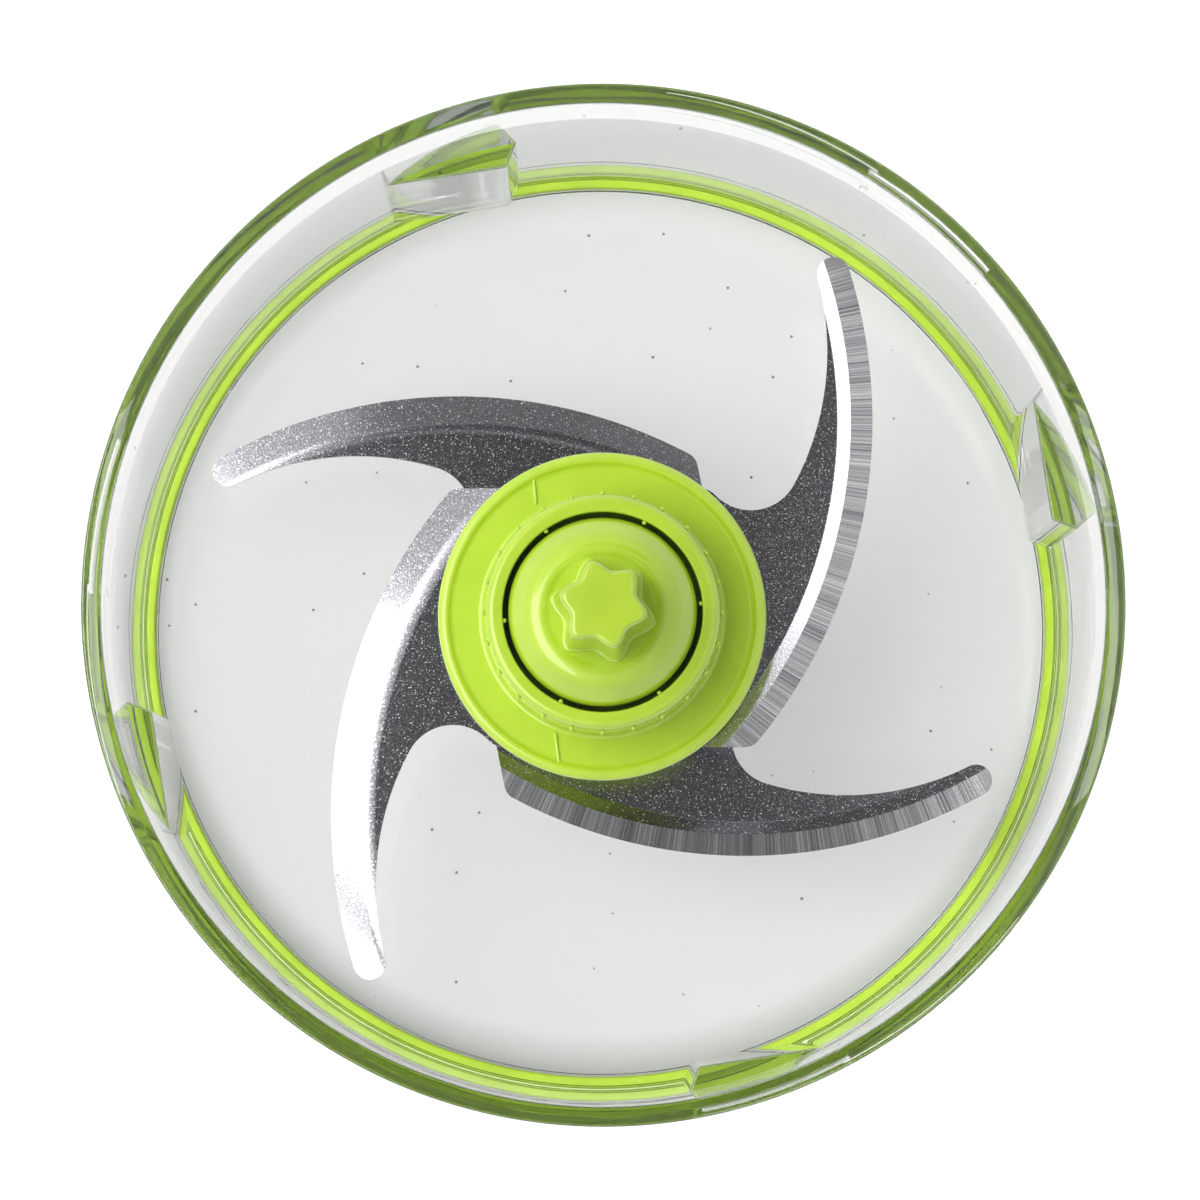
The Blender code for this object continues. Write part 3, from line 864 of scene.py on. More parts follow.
@dataclass(frozen=True)
class TurnedSteel:
    """Ground steel rod: bright, with fine rings left round its axis."""

    colour: str = "#cfd0d2"
    roughness: tuple[float, float] = (0.14, 0.24)
    ring: float = 0.00012
    ring_stretch: tuple[float, float, float] = (0.1, 0.1, 1.0)
    ring_depth: float = 0.000002

    def material(self) -> bpy.types.Material:
        """Makes the material.

        Returns:
            The material.
        """
        material, tree, output = new_tree("centreless_ground_steel")
        place = add_node(tree, "ShaderNodeTexCoord").outputs["Object"]
        flat = add_node(
            tree, "ShaderNodeVectorMath", {"operation": "MULTIPLY"}, {0: place, 1: self.ring_stretch}
        )
        rings = add_node(
            tree, "ShaderNodeTexNoise", inputs={"Vector": flat, "Scale": 1 / self.ring}
        )
        gloss = add_node(
            tree, "ShaderNodeMapRange",
            inputs={
                "Value": rings, "From Min": NOISE_BODY[0], "From Max": NOISE_BODY[1],
                "To Min": self.roughness[0], "To Max": self.roughness[1],
            },
        )
        bump = add_node(
            tree, "ShaderNodeBump", inputs={"Height": rings, "Distance": self.ring_depth}
        )
        shader = add_node(
            tree, "ShaderNodeBsdfPrincipled",
            inputs={
                "Base Color": linear(self.colour), "Metallic": 1.0, "Roughness": gloss,
                "Normal": bump,
            },
        )
        tree.links.new(shader.outputs[0], output.inputs[0])
        return material


@dataclass(frozen=True)
class Finishes:
    """The materials that the pieces share."""

    clear: bpy.types.Material
    lime_plastic: bpy.types.Material
    lime_rubber: bpy.types.Material
    acetal: bpy.types.Material
    sheet: bpy.types.Material
    ground: bpy.types.Material
    rod: bpy.types.Material


def make_finishes() -> Finishes:
    """Makes every material of the object.

    Returns:
        The materials.
    """
    return Finishes(
        clear=ClearStyrene().material(),
        lime_plastic=MouldedPlastic(
            "moulded_lime_abs", "#b3d22f", "#accc2a", (0.3, 0.4), skin=0.9
        ).material(),
        lime_rubber=MouldedPlastic(
            "moulded_lime_elastomer", "#b2d522", "#a9cc1e", (0.42, 0.55), ior=1.48
        ).material(),
        acetal=MouldedPlastic(
            "machined_natural_acetal", "#e6e5df", "#dddcd5", (0.35, 0.5), ior=1.48
        ).material(),
        sheet=RolledSteel().material(),
        ground=GroundSteel().material(),
        rod=TurnedSteel().material(),
    )


@dataclass
class ClearBowl:
    """Clear bowl with its boss, tongue, vanes and lid lugs, moulded in one."""

    rim_radius: float = CAD_BOX[1].x
    height: float = CAD_BOX[1].z
    bead_height: float = 0.0036
    bead_overhang: float = 0.00105
    bead_fade: float = 0.0120
    wall_top: float = 0.0015
    wall_base: float = 0.00135
    wall_taper: float = 0.00035
    wall_foot: float = 0.0053
    floor_top: float = 0.0066
    floor_bottom: float = 0.0042
    floor_radius: float = 0.06035
    tongue: tuple[float, float] = TONGUE
    tongue_foot: float = 0.00302
    rim_edges: tuple[Rounding, Rounding] = (Rounding(0.00025), Rounding(0.00035, 6))
    bead_sweep: Rounding = Rounding(0.0120, 6)
    wall_foot_edge: Rounding = Rounding(0.0003)
    floor_fillet: Rounding = Rounding(0.0004, 3)
    boss: tuple[float, float, float] = (0.0080, 0.0065, 0.0135)
    boss_edge: Rounding = Rounding(0.0006)
    boss_fillet: Rounding = Rounding(0.0012)
    socket: tuple[float, float] = (0.0033, 0.0054)
    vane_count: int = 4
    vane_angles: tuple[float, float, float] = (10.0, 12.0, 26.9)
    vane_depth: float = 0.0028
    vane_height: float = 0.0440
    vane_edge: float = 0.00035
    vane_steps: int = 12
    lug_count: int = 3
    lug_angles: tuple[float, float, float] = (41.0, 58.7, 83.0)
    lug_drop: float = 0.0014
    lug_height: float = 0.0090
    lug_inset: float = 0.0005
    lug_edge: float = 0.0003
    lug_steps: int = 20
    lead_radius: float = 0.0008
    lead_fall: float = 0.0030
    lead_lap: float = 1.0
    lead_steps: int = 28
    lead_sides: int = 14

    @property
    def outer(self) -> tuple[float, float]:
        """Outer radius of the wall under its bead and at its foot."""
        top = self.rim_radius - self.bead_overhang
        return top, top - self.wall_taper

    @property
    def inner(self) -> tuple[float, float]:
        """Inner radius of the wall at its top and at its foot."""
        return self.outer[0] - self.wall_top, self.outer[1] - self.wall_base

    def profile(self) -> list[Corner]:
        """Lists the corners of the turned bowl, from the boss outwards and back below.

        Returns:
            The corners.
        """
        top_outer, base_outer = self.outer
        top_inner, base_inner = self.inner
        bead = self.height - self.bead_height
        boss_base, boss_top, boss_height = self.boss
        bore, bore_floor = self.socket
        return [
            Corner(0.0, bore_floor),
            Corner(bore, bore_floor),
            Corner(bore, boss_height, MOULD_EDGE),
            Corner(boss_top, boss_height, self.boss_edge),
            Corner(boss_base, self.floor_top, self.boss_fillet),
            Corner(base_inner, self.floor_top, self.floor_fillet),
            Corner(top_inner, self.height, self.rim_edges[0]),
            Corner(self.rim_radius, self.height, self.rim_edges[1]),
            Corner(self.rim_radius, bead, self.bead_sweep),
            Corner(top_outer, bead - self.bead_fade, self.bead_sweep),
            Corner(base_outer, self.wall_foot, self.wall_foot_edge),
            Corner(self.tongue[1], self.wall_foot, FINE_EDGE),
            Corner(self.tongue[1], self.tongue_foot, CUT_EDGE),
            Corner(self.tongue[0], self.tongue_foot, CUT_EDGE),
            Corner(self.tongue[0], self.wall_foot, FINE_EDGE),
            Corner(self.floor_radius, self.wall_foot, FINE_EDGE),
            Corner(self.floor_radius, self.floor_bottom, MOULD_EDGE),
            Corner(0.0, self.floor_bottom),
        ]

    def vane(self) -> Workpiece:
        """Models one vane: a solid wedge on the wall, its free edges rounded.

        Returns:
            The vane, rooted inside the wall.
        """
        blunt, corner, acute = self.vane_angles
        base_inner, root = self.inner[1], (self.inner[1] + self.outer[1]) / 2
        low = (self.floor_top + self.floor_bottom) / 2
        high = self.floor_top + self.vane_height
        foot = Vector((0.0, 0.0, low))
        nose = polar(base_inner - self.vane_depth, corner, foot)
        piece = Workpiece.start("vane", nose)
        with piece.editing():
            piece.line_to(polar(base_inner + PAST, acute, foot))
            piece.line_to(polar(root, acute, foot))
            piece.arc(foot, blunt - acute, self.vane_steps)
            piece.line_to(nose)
            piece.fill(high - low)
        inside = base_inner - self.vane_depth / 2
        piece.bevel(
            lambda v: math.hypot(v.co.x, v.co.y) < inside or (v.co.z > low + WELD), self.vane_edge
        )
        return piece

    def lug(self) -> Workpiece:
        """Models one lid lug: a stop block and the rib that leads down to it.

        Returns:
            The lug, rooted inside the wall.
        """
        stop, lock, entry = self.lug_angles
        high = self.height - self.bead_height - self.lug_drop
        radii = (self.rim_radius - self.lug_inset, self.outer[0] - self.wall_top / 2)
        piece = Workpiece.sector(
            "lug", (stop, lock), radii, (high - self.lug_height, high), self.lug_steps
        )
        piece.soften_edges(self.lug_edge, segments=3)
        piece.join(self.lead_rib(lock - self.lead_lap, entry, high), Joining.UNITE)
        return piece

    def lead_rib(self, start: float, end: float, high: float) -> Workpiece:
        """Models a rounded rib that climbs along the wall, extruded step by step.

        Args:
            start: Angle of its low end.
            end: Angle of its high end.
            high: Height of its crest at the high end.

        Returns:
            The rib.
        """
        Workpiece.clear_bench()
        radius = self.rim_radius - self.lead_radius
        low = high - self.lead_radius - self.lead_fall
        bpy.ops.mesh.primitive_circle_add(
            vertices=self.lead_sides, radius=self.lead_radius, fill_type="NGON",
            location=(radius, 0.0, low), rotation=(math.pi / 2, 0.0, 0.0),
        )
        piece = Workpiece("lead_rib", bpy.context.object)
        piece.apply_place()
        rise = (0.0, 0.0, self.lead_fall / self.lead_steps)
        step = math.radians((end - start) / self.lead_steps)
        with piece.editing():
            bpy.ops.mesh.select_all(action="SELECT")
            for _ in range(self.lead_steps):
                bpy.ops.mesh.extrude_region_move(TRANSFORM_OT_translate={"value": rise})
                bpy.ops.transform.rotate(value=-step, orient_axis="Z", center_override=AXIS)
            piece.face_out()
        piece.obj.rotation_euler.z = math.radians(start)
        piece.apply_place()
        return piece

    def build(self, finishes: Finishes) -> bpy.types.Object:
        """Models the bowl.

        Args:
            finishes: The materials.

        Returns:
            The finished bowl.
        """
        bowl = Workpiece.turned("clear_bowl", self.profile(), FINE_TURN)
        for make, count in ((self.vane, self.vane_count), (self.lug, self.lug_count)):
            first = make()
            copies = [first.copy_turned(360.0 * i / count) for i in range(1, count)]
            first.gather(copies)
            bowl.join(first, Joining.UNITE)
        return bowl.finish(Body.BOWL, ["bowl"], "clear_plastic", [finishes.clear])


@dataclass
class FootRing:
    """Elastomer foot ring, a channel pressed over the bowl's tongue."""

    outer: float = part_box("base_ring")[1].x
    height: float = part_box("base_ring")[1].z
    inner: float = 0.06065
    sole: float = 0.0030
    tongue: tuple[float, float] = TONGUE
    sole_edge: Rounding = Rounding(0.0006, 6)

    def build(self, finishes: Finishes) -> bpy.types.Object:
        """Models the ring.

        Args:
            finishes: The materials.

        Returns:
            The finished ring.
        """
        slot_inner, slot_outer = self.tongue[0] - SEAT, self.tongue[1] + SEAT
        corners = [
            Corner(slot_outer, self.height, FINE_EDGE),
            Corner(self.outer, self.height, SOFT_EDGE),
            Corner(self.outer, 0.0, self.sole_edge),
            Corner(self.inner, 0.0, self.sole_edge),
            Corner(self.inner, self.height, SOFT_EDGE),
            Corner(slot_inner, self.height, FINE_EDGE),
            Corner(slot_inner, self.sole, CUT_EDGE),
            Corner(slot_outer, self.sole, CUT_EDGE),
        ]
        ring = Workpiece.turned("foot_ring", corners, FINE_TURN, ring=True)
        return ring.finish(Body.BOWL, ["base_ring"], "green_rubber", [finishes.lime_rubber])


@dataclass
class DriveUnit:
    """Hollow shaft with the domed head, the driving star and two bayonet lugs."""

    head_radius: float = 0.0121
    head_height: float = 0.0150
    star_top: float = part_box("drive_shaft")[1].z
    star_reach: float = 0.0300
    head_bottom: float = star_top - star_reach
    shaft_bottom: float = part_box("drive_shaft")[0].z
    shaft_radius: float = 0.0070
    bores: tuple[float, float, float] = (0.0053, 0.0046, 0.0036)
    bush_length: float = 0.0086
    pad_top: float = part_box("thrust_pad")[1].z + GAP
    upper_seat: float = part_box("upper_bush")[1].z + GAP
    dish: tuple[float, float, float] = (0.0069, 0.0078, 0.0005)
    dish_edges: tuple[Rounding, Rounding] = (Rounding(0.0015, 6), Rounding(0.0020, 8))
    dome: tuple[float, float, float] = (0.0097, 0.0008, 0.0038)
    dome_sweep: Rounding = Rounding(0.0030, 12)
    star_points: int = 6
    star_base: float = 0.0066
    star_root: float = 0.0006
    star_draft: float = 0.86
    star_valley: float = 0.77
    star_fullness: float = 1.6
    star_turn: float = 46.0
    star_steps: int = 24
    star_step: tuple[float, float] = (0.0004, 0.0004)
    star_edge: float = 0.0009
    star_crown: tuple[float, float] = (0.00015, 0.5)
    round_steps: int = 5
    lug_radius: float = 0.0086
    lug_height: float = 0.0022
    lug_turns: tuple[float, float] = (-40.0, 140.0)
    lug_width: float = 18.0
    lug_steps: int = 8
    lug_edge: float = 0.00015

    @property
    def head_top(self) -> float:
        """Height of the dome's crest."""
        return self.head_bottom + self.head_height

    @property
    def dish_floor(self) -> float:
        """Height of the floor of the dish round the star."""
        return self.head_top - self.dish[2]

    def profile(self) -> list[Corner]:
        """Lists the corners of the turned shaft and head.

        Returns:
            The corners, from the top of the head round to its bore.
        """
        dish_in, dish_out, _ = self.dish
        shoulder, fall, drop = self.dome
        lower, upper, pocket = self.bores
        step = self.shaft_bottom + self.bush_length
        return [
            Corner(0.0, self.dish_floor),
            Corner(dish_in, self.dish_floor, self.dish_edges[0]),
            Corner(dish_out, self.head_top, self.dish_edges[1]),
            Corner(shoulder, self.head_top - fall, self.dome_sweep),
            Corner(self.head_radius, self.head_top - drop, self.dome_sweep),
            Corner(self.head_radius, self.head_bottom, MOULD_EDGE),
            Corner(self.shaft_radius, self.head_bottom, MOULD_EDGE),
            Corner(self.shaft_radius, self.shaft_bottom, MOULD_EDGE),
            Corner(lower, self.shaft_bottom, CUT_EDGE),
            Corner(lower, step),
            Corner(upper, step),
            Corner(upper, self.upper_seat),
            Corner(pocket, self.upper_seat),
            Corner(pocket, self.pad_top),
            Corner(0.0, self.pad_top),
        ]

    def star(self) -> Workpiece:
        """Models the star: a circle drawn in to points, flared, drafted and rounded on top.

        Returns:
            The star, rooted in the head.
        """
        Workpiece.clear_bench()
        foot = self.dish_floor - self.star_root
        count = self.star_points * self.star_steps
        bpy.ops.mesh.primitive_circle_add(
            vertices=count, radius=self.star_base, fill_type="NGON", location=(0.0, 0.0, foot)
        )
        piece = Workpiece("star", bpy.context.object)
        piece.apply_place()
        with piece.editing():
            for step in range(1, self.star_steps):
                self.draw_in(piece, step)
            bpy.ops.mesh.select_all(action="SELECT")
            self.raise_star(foot)
            piece.face_out()
        piece.obj.rotation_euler.z = math.radians(self.star_turn - CIRCLE_START)
        piece.apply_place()
        return piece

    def draw_in(self, piece: Workpiece, step: int) -> None:
        """Draws the vertices at one place between two points in towards the axis.

        Args:
            piece: The star.
            step: Which place, counted from a point.
        """
        pitch = 360.0 / self.star_points
        wanted = pitch * step / self.star_steps

        def here(vertex: bmesh.types.BMVert) -> bool:
            """Tells whether a vertex is at this place."""
            off = (bearing(AXIS, vertex.co) - CIRCLE_START - wanted + pitch / 2) % pitch - pitch / 2
            return abs(off) < pitch / self.star_steps / 4

        hollow = math.sin(math.pi * step / self.star_steps) ** self.star_fullness
        scale = 1.0 - (1.0 - self.star_valley) * hollow
        piece.select("VERT", here)
        bpy.ops.transform.resize(value=(scale, scale, 1.0), center_override=AXIS)

    def raise_star(self, foot: float) -> None:
        """Extrudes the star's sections upwards.

        Args:
            foot: Height of its root.
        """
        root = self.dish_floor
        shoulder = self.star_top - self.star_edge
        proud, rise = self.star_step
        turns = [math.radians(90.0 * i / self.round_steps) for i in range(1, self.round_steps + 1)]
        sections = [(root, 1.0 + proud / self.star_base)]
        for turn in turns:
            flare = 1.0 + proud * math.cos(turn) / self.star_base
            sections.append((root + rise * math.sin(turn), flare))
        sections.append((shoulder, self.star_draft))
        for turn in turns:
            inset = self.star_edge * (1 - math.cos(turn)) / self.star_base
            sections.append((shoulder + self.star_edge * math.sin(turn), self.star_draft - inset))
        crown_drop, crown_share = self.star_crown
        sections.append((self.star_top - crown_drop, self.star_draft * crown_share))
        height, scale = foot, 1.0
        for next_height, next_scale in sections:
            bpy.ops.mesh.extrude_region_move(
                TRANSFORM_OT_translate={"value": (0.0, 0.0, next_height - height)}
            )
            growth = next_scale / scale
            bpy.ops.transform.resize(value=(growth, growth, 1.0), center_override=AXIS)
            height, scale = next_height, next_scale

    def build(self, finishes: Finishes) -> bpy.types.Object:
        """Models the shaft, and dresses its bushes, pad and spindle.

        Args:
            finishes: The materials.

        Returns:
            The finished shaft.
        """
        shaft = Workpiece.turned("drive_head", self.profile(), HUB_TURN)
        shaft.join(self.star(), Joining.UNITE)
        for turn in self.lug_turns:
            shaft.join(self.lug(turn), Joining.UNITE)
        for node, material in (
            ("upper_bush", finishes.acetal), ("lower_bush", finishes.acetal),
            ("thrust_pad", finishes.rod), ("spindle_pin", finishes.rod),
        ):
            frame["nodes"][node].data.materials.clear()
            frame["nodes"][node].data.materials.append(material)
        return shaft.finish(
            Body.DRIVE, ["drive_shaft"], "green_plastic", [finishes.lime_plastic]
        )

    def lug(self, turn: float) -> Workpiece:
        """Models one bayonet lug at the shaft's foot.

        Args:
            turn: Angle of its middle.

        Returns:
            The lug.
        """
        span = (turn - self.lug_width / 2, turn + self.lug_width / 2)
        radii = (self.lug_radius, (self.shaft_radius + self.bores[0]) / 2)
        heights = (self.shaft_bottom, self.shaft_bottom + self.lug_height)
        piece = Workpiece.sector("shaft_lug", span, radii, heights, self.lug_steps)
        piece.soften_edges(self.lug_edge)
        return piece


@dataclass
class Hub:
    """Flanged hub with its gripped collar and the keyed tube that carries the blades."""

    flange_radius: float = farthest("hub")
    top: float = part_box("hub")[1].z
    foot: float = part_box("hub")[0].z
    collar_height: float = 0.0113
    collar_bore: float = 0.0128
    collar_top: float = 0.0150
    collar_taper: float = 0.0004
    collar_edge: Rounding = Rounding(0.0011, 8)
    collar_fillet: Rounding = Rounding(0.0007)
    flange_thickness: float = 0.0034
    lip_height: float = 0.0006
    lip_width: float = 0.0018
    lip_crest: float = 0.62
    lip_fall: float = 0.0006
    lip_roundings: tuple[Rounding, Rounding, Rounding] = (
        Rounding(0.0010, 6), Rounding(0.0006, 6), Rounding(0.0008, 6),
    )
    tube: tuple[float, float] = (0.0073, 0.0100)
    tube_flat: float = 0.0086
    nubs: int = 24
    nub_radius: float = 0.0003
    nub_proud: float = 0.0002
    nub_drop: float = 0.0014
    nub_root: float = 0.0003
    ribs: int = 6
    rib_radius: float = 0.0003
    rib_turn: float = 5.0
    rib_drops: tuple[float, float] = (0.0055, 0.0004)
    bar_sides: int = 14
    bar_rounding: float = 0.6
    tick_places: tuple[tuple[float, float, float], ...] = (
        (-0.0088, 0.0168, -84.5), (-0.0058, -0.0174, -82.5),
    )
    tick_size: tuple[float, float, float] = (0.0046, 0.0004, 0.0006)
    tick_edge: float = 0.00018
    flat_size: tuple[float, float] = (0.022, 0.004)
    flat_overrun: float = 0.001
    window: tuple[float, float] = (-51.5, 11.5)
    window_radius: float = 0.0110
    window_height: float = 0.0025
    keyway_radius: float = 0.0089
    cutter_steps: int = 12

    @property
    def socket_floor(self) -> float:
        """Height of the floor that the drive head stands over."""
        return self.top - self.collar_height

    @property
    def flange_top(self) -> float:
        """Height of the flange's upper face."""
        return self.socket_floor - GAP

    def profile(self) -> list[Corner]:
        """Lists the corners of the turned hub.

        Returns:
            The corners of its section.
        """
        lip_top = self.flange_top + self.lip_height
        flange_foot = self.flange_top - self.flange_thickness
        edge = self.flange_radius
        bore, tube = self.tube
        into, crest, outside = self.lip_roundings
        return [
            Corner(self.collar_bore, self.top, MOULD_EDGE),
            Corner(self.collar_top, self.top, self.collar_edge),
            Corner(self.collar_top + self.collar_taper, self.flange_top, self.collar_fillet),
            Corner(edge - self.lip_width, self.flange_top, into),
            Corner(edge - self.lip_width * self.lip_crest, lip_top, crest),
            Corner(edge, lip_top - self.lip_fall, outside),
            Corner(edge, flange_foot, MOULD_EDGE),
            Corner(tube, flange_foot),
            Corner(tube, self.foot, CUT_EDGE),
            Corner(bore, self.foot, CUT_EDGE),
            Corner(bore, self.socket_floor),
            Corner(self.collar_bore, self.socket_floor),
        ]

    def bars(
        self, count: int, turn: float, radius: float, distance: float, low: float, high: float
    ) -> Workpiece:
        """Stands small upright bars evenly round the axis.

        Args:
            count: How many.
            turn: Angle of the first.
            radius: Radius of a bar.
            distance: Distance of their centres from the axis.
            low: Height of their feet.
            high: Height of their tops.

        Returns:
            The bars as one workpiece.
        """
        Workpiece.clear_bench()
        bpy.ops.mesh.primitive_cylinder_add(
            vertices=self.bar_sides, radius=radius, depth=high - low,
            location=polar(distance, turn, (0.0, 0.0, (low + high) / 2)),
        )
        first = Workpiece("bar", bpy.context.object)
        first.apply_place()
        first.bevel(lambda v: v.co.z > high - WELD, radius * self.bar_rounding)
        first.gather([first.copy_turned(360.0 * i / count) for i in range(1, count)])
        return first

    def grips(self) -> list[Workpiece]:
        """Models the nubs outside the collar, the ribs inside it and the ticks on the flange.

        Returns:
            The pieces, rooted in the hub.
        """
        low, high = self.rib_drops
        grip = self.collar_top + self.collar_taper + self.nub_proud - self.nub_radius
        nubs = self.bars(
            self.nubs, 0.0, self.nub_radius, grip, self.flange_top - self.nub_root,
            self.top - self.nub_drop,
        )
        ribs = self.bars(
            self.ribs, self.rib_turn, self.rib_radius, self.collar_bore - self.rib_radius / 2,
            self.top - low, self.top - high,
        )
        ticks = []
        for x, y, turn in self.tick_places:
            tick = Workpiece.block("tick", self.tick_size, (x, y, self.flange_top), turn)
            tick.soften_edges(self.tick_edge, segments=3)
            ticks.append(tick)
        return [nubs, ribs, *ticks]

    def cutters(self) -> list[Workpiece]:
        """Models what cuts the tube: two flats, two bayonet windows and two keyways.

        Returns:
            The cutters.
        """
        low, high = self.foot - self.flat_overrun, self.flange_top - self.flange_thickness
        width, depth = self.flat_size
        cutters = []
        for side in (1, -1):
            middle = (0.0, side * (self.tube_flat + depth / 2), (low + high) / 2)
            cutters.append(Workpiece.block("flat", (width, depth, high - low), middle))
        lock = self.foot + self.window_height
        inner = self.tube[0] - 2 * PAST
        for half in (0.0, 180.0):
            window = (self.window[0] + half, self.window[1] + half)
            keyway = (half - self.window[1], half + self.window[1])
            for span, outer, heights in (
                (window, self.window_radius, (self.foot - 2 * PAST, lock)),
                (keyway, self.keyway_radius, (lock - PAST, self.socket_floor + PAST)),
            ):
                cutters.append(
                    Workpiece.sector("cutter", span, (outer, inner), heights, self.cutter_steps)
                )
        return cutters

    def build(self, finishes: Finishes) -> bpy.types.Object:
        """Models the hub.

        Args:
            finishes: The materials.

        Returns:
            The finished hub.
        """
        hub = Workpiece.turned("blade_hub", self.profile(), HUB_TURN, ring=True)
        for piece in self.grips():
            hub.join(piece, Joining.UNITE)
        for cutter in self.cutters():
            hub.join(cutter, Joining.CUT)
        return hub.finish(Body.BLADES, ["hub"], "green_plastic", [finishes.lime_plastic])


@dataclass
class CarrierRing:
    """Turned ring on the hub's tube: the sleeve between the blades or the collar below them."""

    name: str
    node: str
    bore: float = 0.0103
    edge: Rounding = Rounding(0.0004, 4)
    chamfer: float = 0.0

    def build(self, finishes: Finishes) -> bpy.types.Object:
        """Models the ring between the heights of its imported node.

        Args:
            finishes: The materials.

        Returns:
            The finished ring.
        """
        low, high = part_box(self.node)
        outer = high.x
        corners = [Corner(self.bore, high.z), Corner(outer, high.z, self.edge)]
        if self.chamfer:
            corners.append(Corner(outer, low.z + self.chamfer, self.edge))
        corners.append(Corner(outer - self.chamfer, low.z, self.edge))
        corners.append(Corner(self.bore, low.z))
        made = Workpiece.turned(self.name, corners, RING_TURN, ring=True)
        return made.finish(Body.BLADES, [self.node], "green_plastic", [finishes.lime_plastic])


@dataclass
class BladeOutline:
    """Circles that the S-shaped outline is drawn from, for the arm on the +Y side."""

    reach: float = farthest("upper_blade")
    thickness: float = 0.0012
    tip_width: float = 0.00425
    tip_direction: float = 56.1
    edge_radius: float = 0.0660
    back_radius: float = 0.0370
    back_direction: float = 15.0
    root_half: float = 0.0169
    corner_reach: float = 0.0186
    corner_radius: float = 0.0022
    neck_step: float = 0.0029
    neck_fillet: float = 0.0064
    neck_shoulder: float = 0.0030
    facets: tuple[int, ...] = (10, 64, 24, 36, 24, 10)
    tip: Vector = field(init=False)
    corner: Vector = field(init=False)
    edge: Vector = field(init=False)
    back: Vector = field(init=False)
    fillet: Vector = field(init=False)
    shoulder: Vector = field(init=False)

    def __post_init__(self) -> None:
        """Places the circles, each touching the next."""
        half_tip = self.tip_width / 2
        self.tip = polar(self.reach - half_tip, self.tip_direction)
        self.corner = Vector((self.corner_reach, self.corner_radius - self.root_half, 0.0))
        self.edge = self.edge_centre(half_tip)
        self.back = polar(self.back_radius + half_tip, self.back_direction + 180.0, self.tip)
        fillet_y = self.root_half - self.neck_step + self.neck_fillet
        rise = fillet_y - self.back.y
        across = math.sqrt((self.back_radius - self.neck_fillet) ** 2 - rise**2)
        self.fillet = Vector((self.back.x + across, fillet_y, 0.0))
        shoulder_y = self.root_half - self.neck_shoulder
        reach = self.neck_fillet + self.neck_shoulder
        apart = math.sqrt(reach**2 - (fillet_y - shoulder_y) ** 2)
        self.shoulder = Vector((self.fillet.x - apart, shoulder_y, 0.0))

    def edge_centre(self, half_tip: float) -> Vector:
        """Finds the centre of the cutting edge's arc, which touches the tip and the corner.

        Args:
            half_tip: Half of the tip's width.

        Returns:
            The centre.
        """
        to_tip = self.edge_radius - half_tip
        to_corner = self.edge_radius - self.corner_radius
        line = self.corner - self.tip
        span = line.length
        along = (to_tip**2 - to_corner**2 + span**2) / (2 * span)
        aside = math.sqrt(to_tip**2 - along**2)
        square = Vector((line.y, -line.x, 0.0))
        return self.tip + (line * along + square * aside) / span

    def arcs(self) -> list[tuple[Vector, float]]:
        """Lists the arcs of half of the outline, from the root round the tip to the shoulder.

        Returns:
            The centre and turn of each.
        """
        tip_start = bearing(self.edge, self.tip)
        to_corner = bearing(self.edge, self.corner)
        to_fillet = bearing(self.back, self.fillet)
        return [
            (self.corner, 90.0 + to_corner),
            (self.edge, tip_start - to_corner),
            (self.tip, (bearing(self.tip, self.back) - tip_start) % 360.0),
            (self.back, to_fillet - bearing(self.back, self.tip)),
            (self.fillet, -((to_fillet - bearing(self.fillet, self.shoulder)) % 360.0)),
            (self.shoulder, 90.0 - bearing(self.shoulder, self.fillet)),
        ]

    def half_plate(self, depth: float) -> Workpiece:
        """Draws half of the outline and makes it a tall plate.

        Args:
            depth: Half of the plate's height.

        Returns:
            The plate.
        """
        level = Vector((0.0, 0.0, -depth))
        start = Vector((-self.thickness, -self.root_half, -depth))
        plate = Workpiece.start("blade_arm", start)
        with plate.editing():
            plate.line_to(self.corner + level - Vector((0.0, self.corner_radius, 0.0)))
            for (centre, turn), steps in zip(self.arcs(), self.facets, strict=True):
                plate.arc(centre + level, turn, steps)
            plate.line_to(Vector((-self.thickness, self.root_half, -depth)))
            plate.line_to(start)
            plate.fill(2 * depth)
        return plate


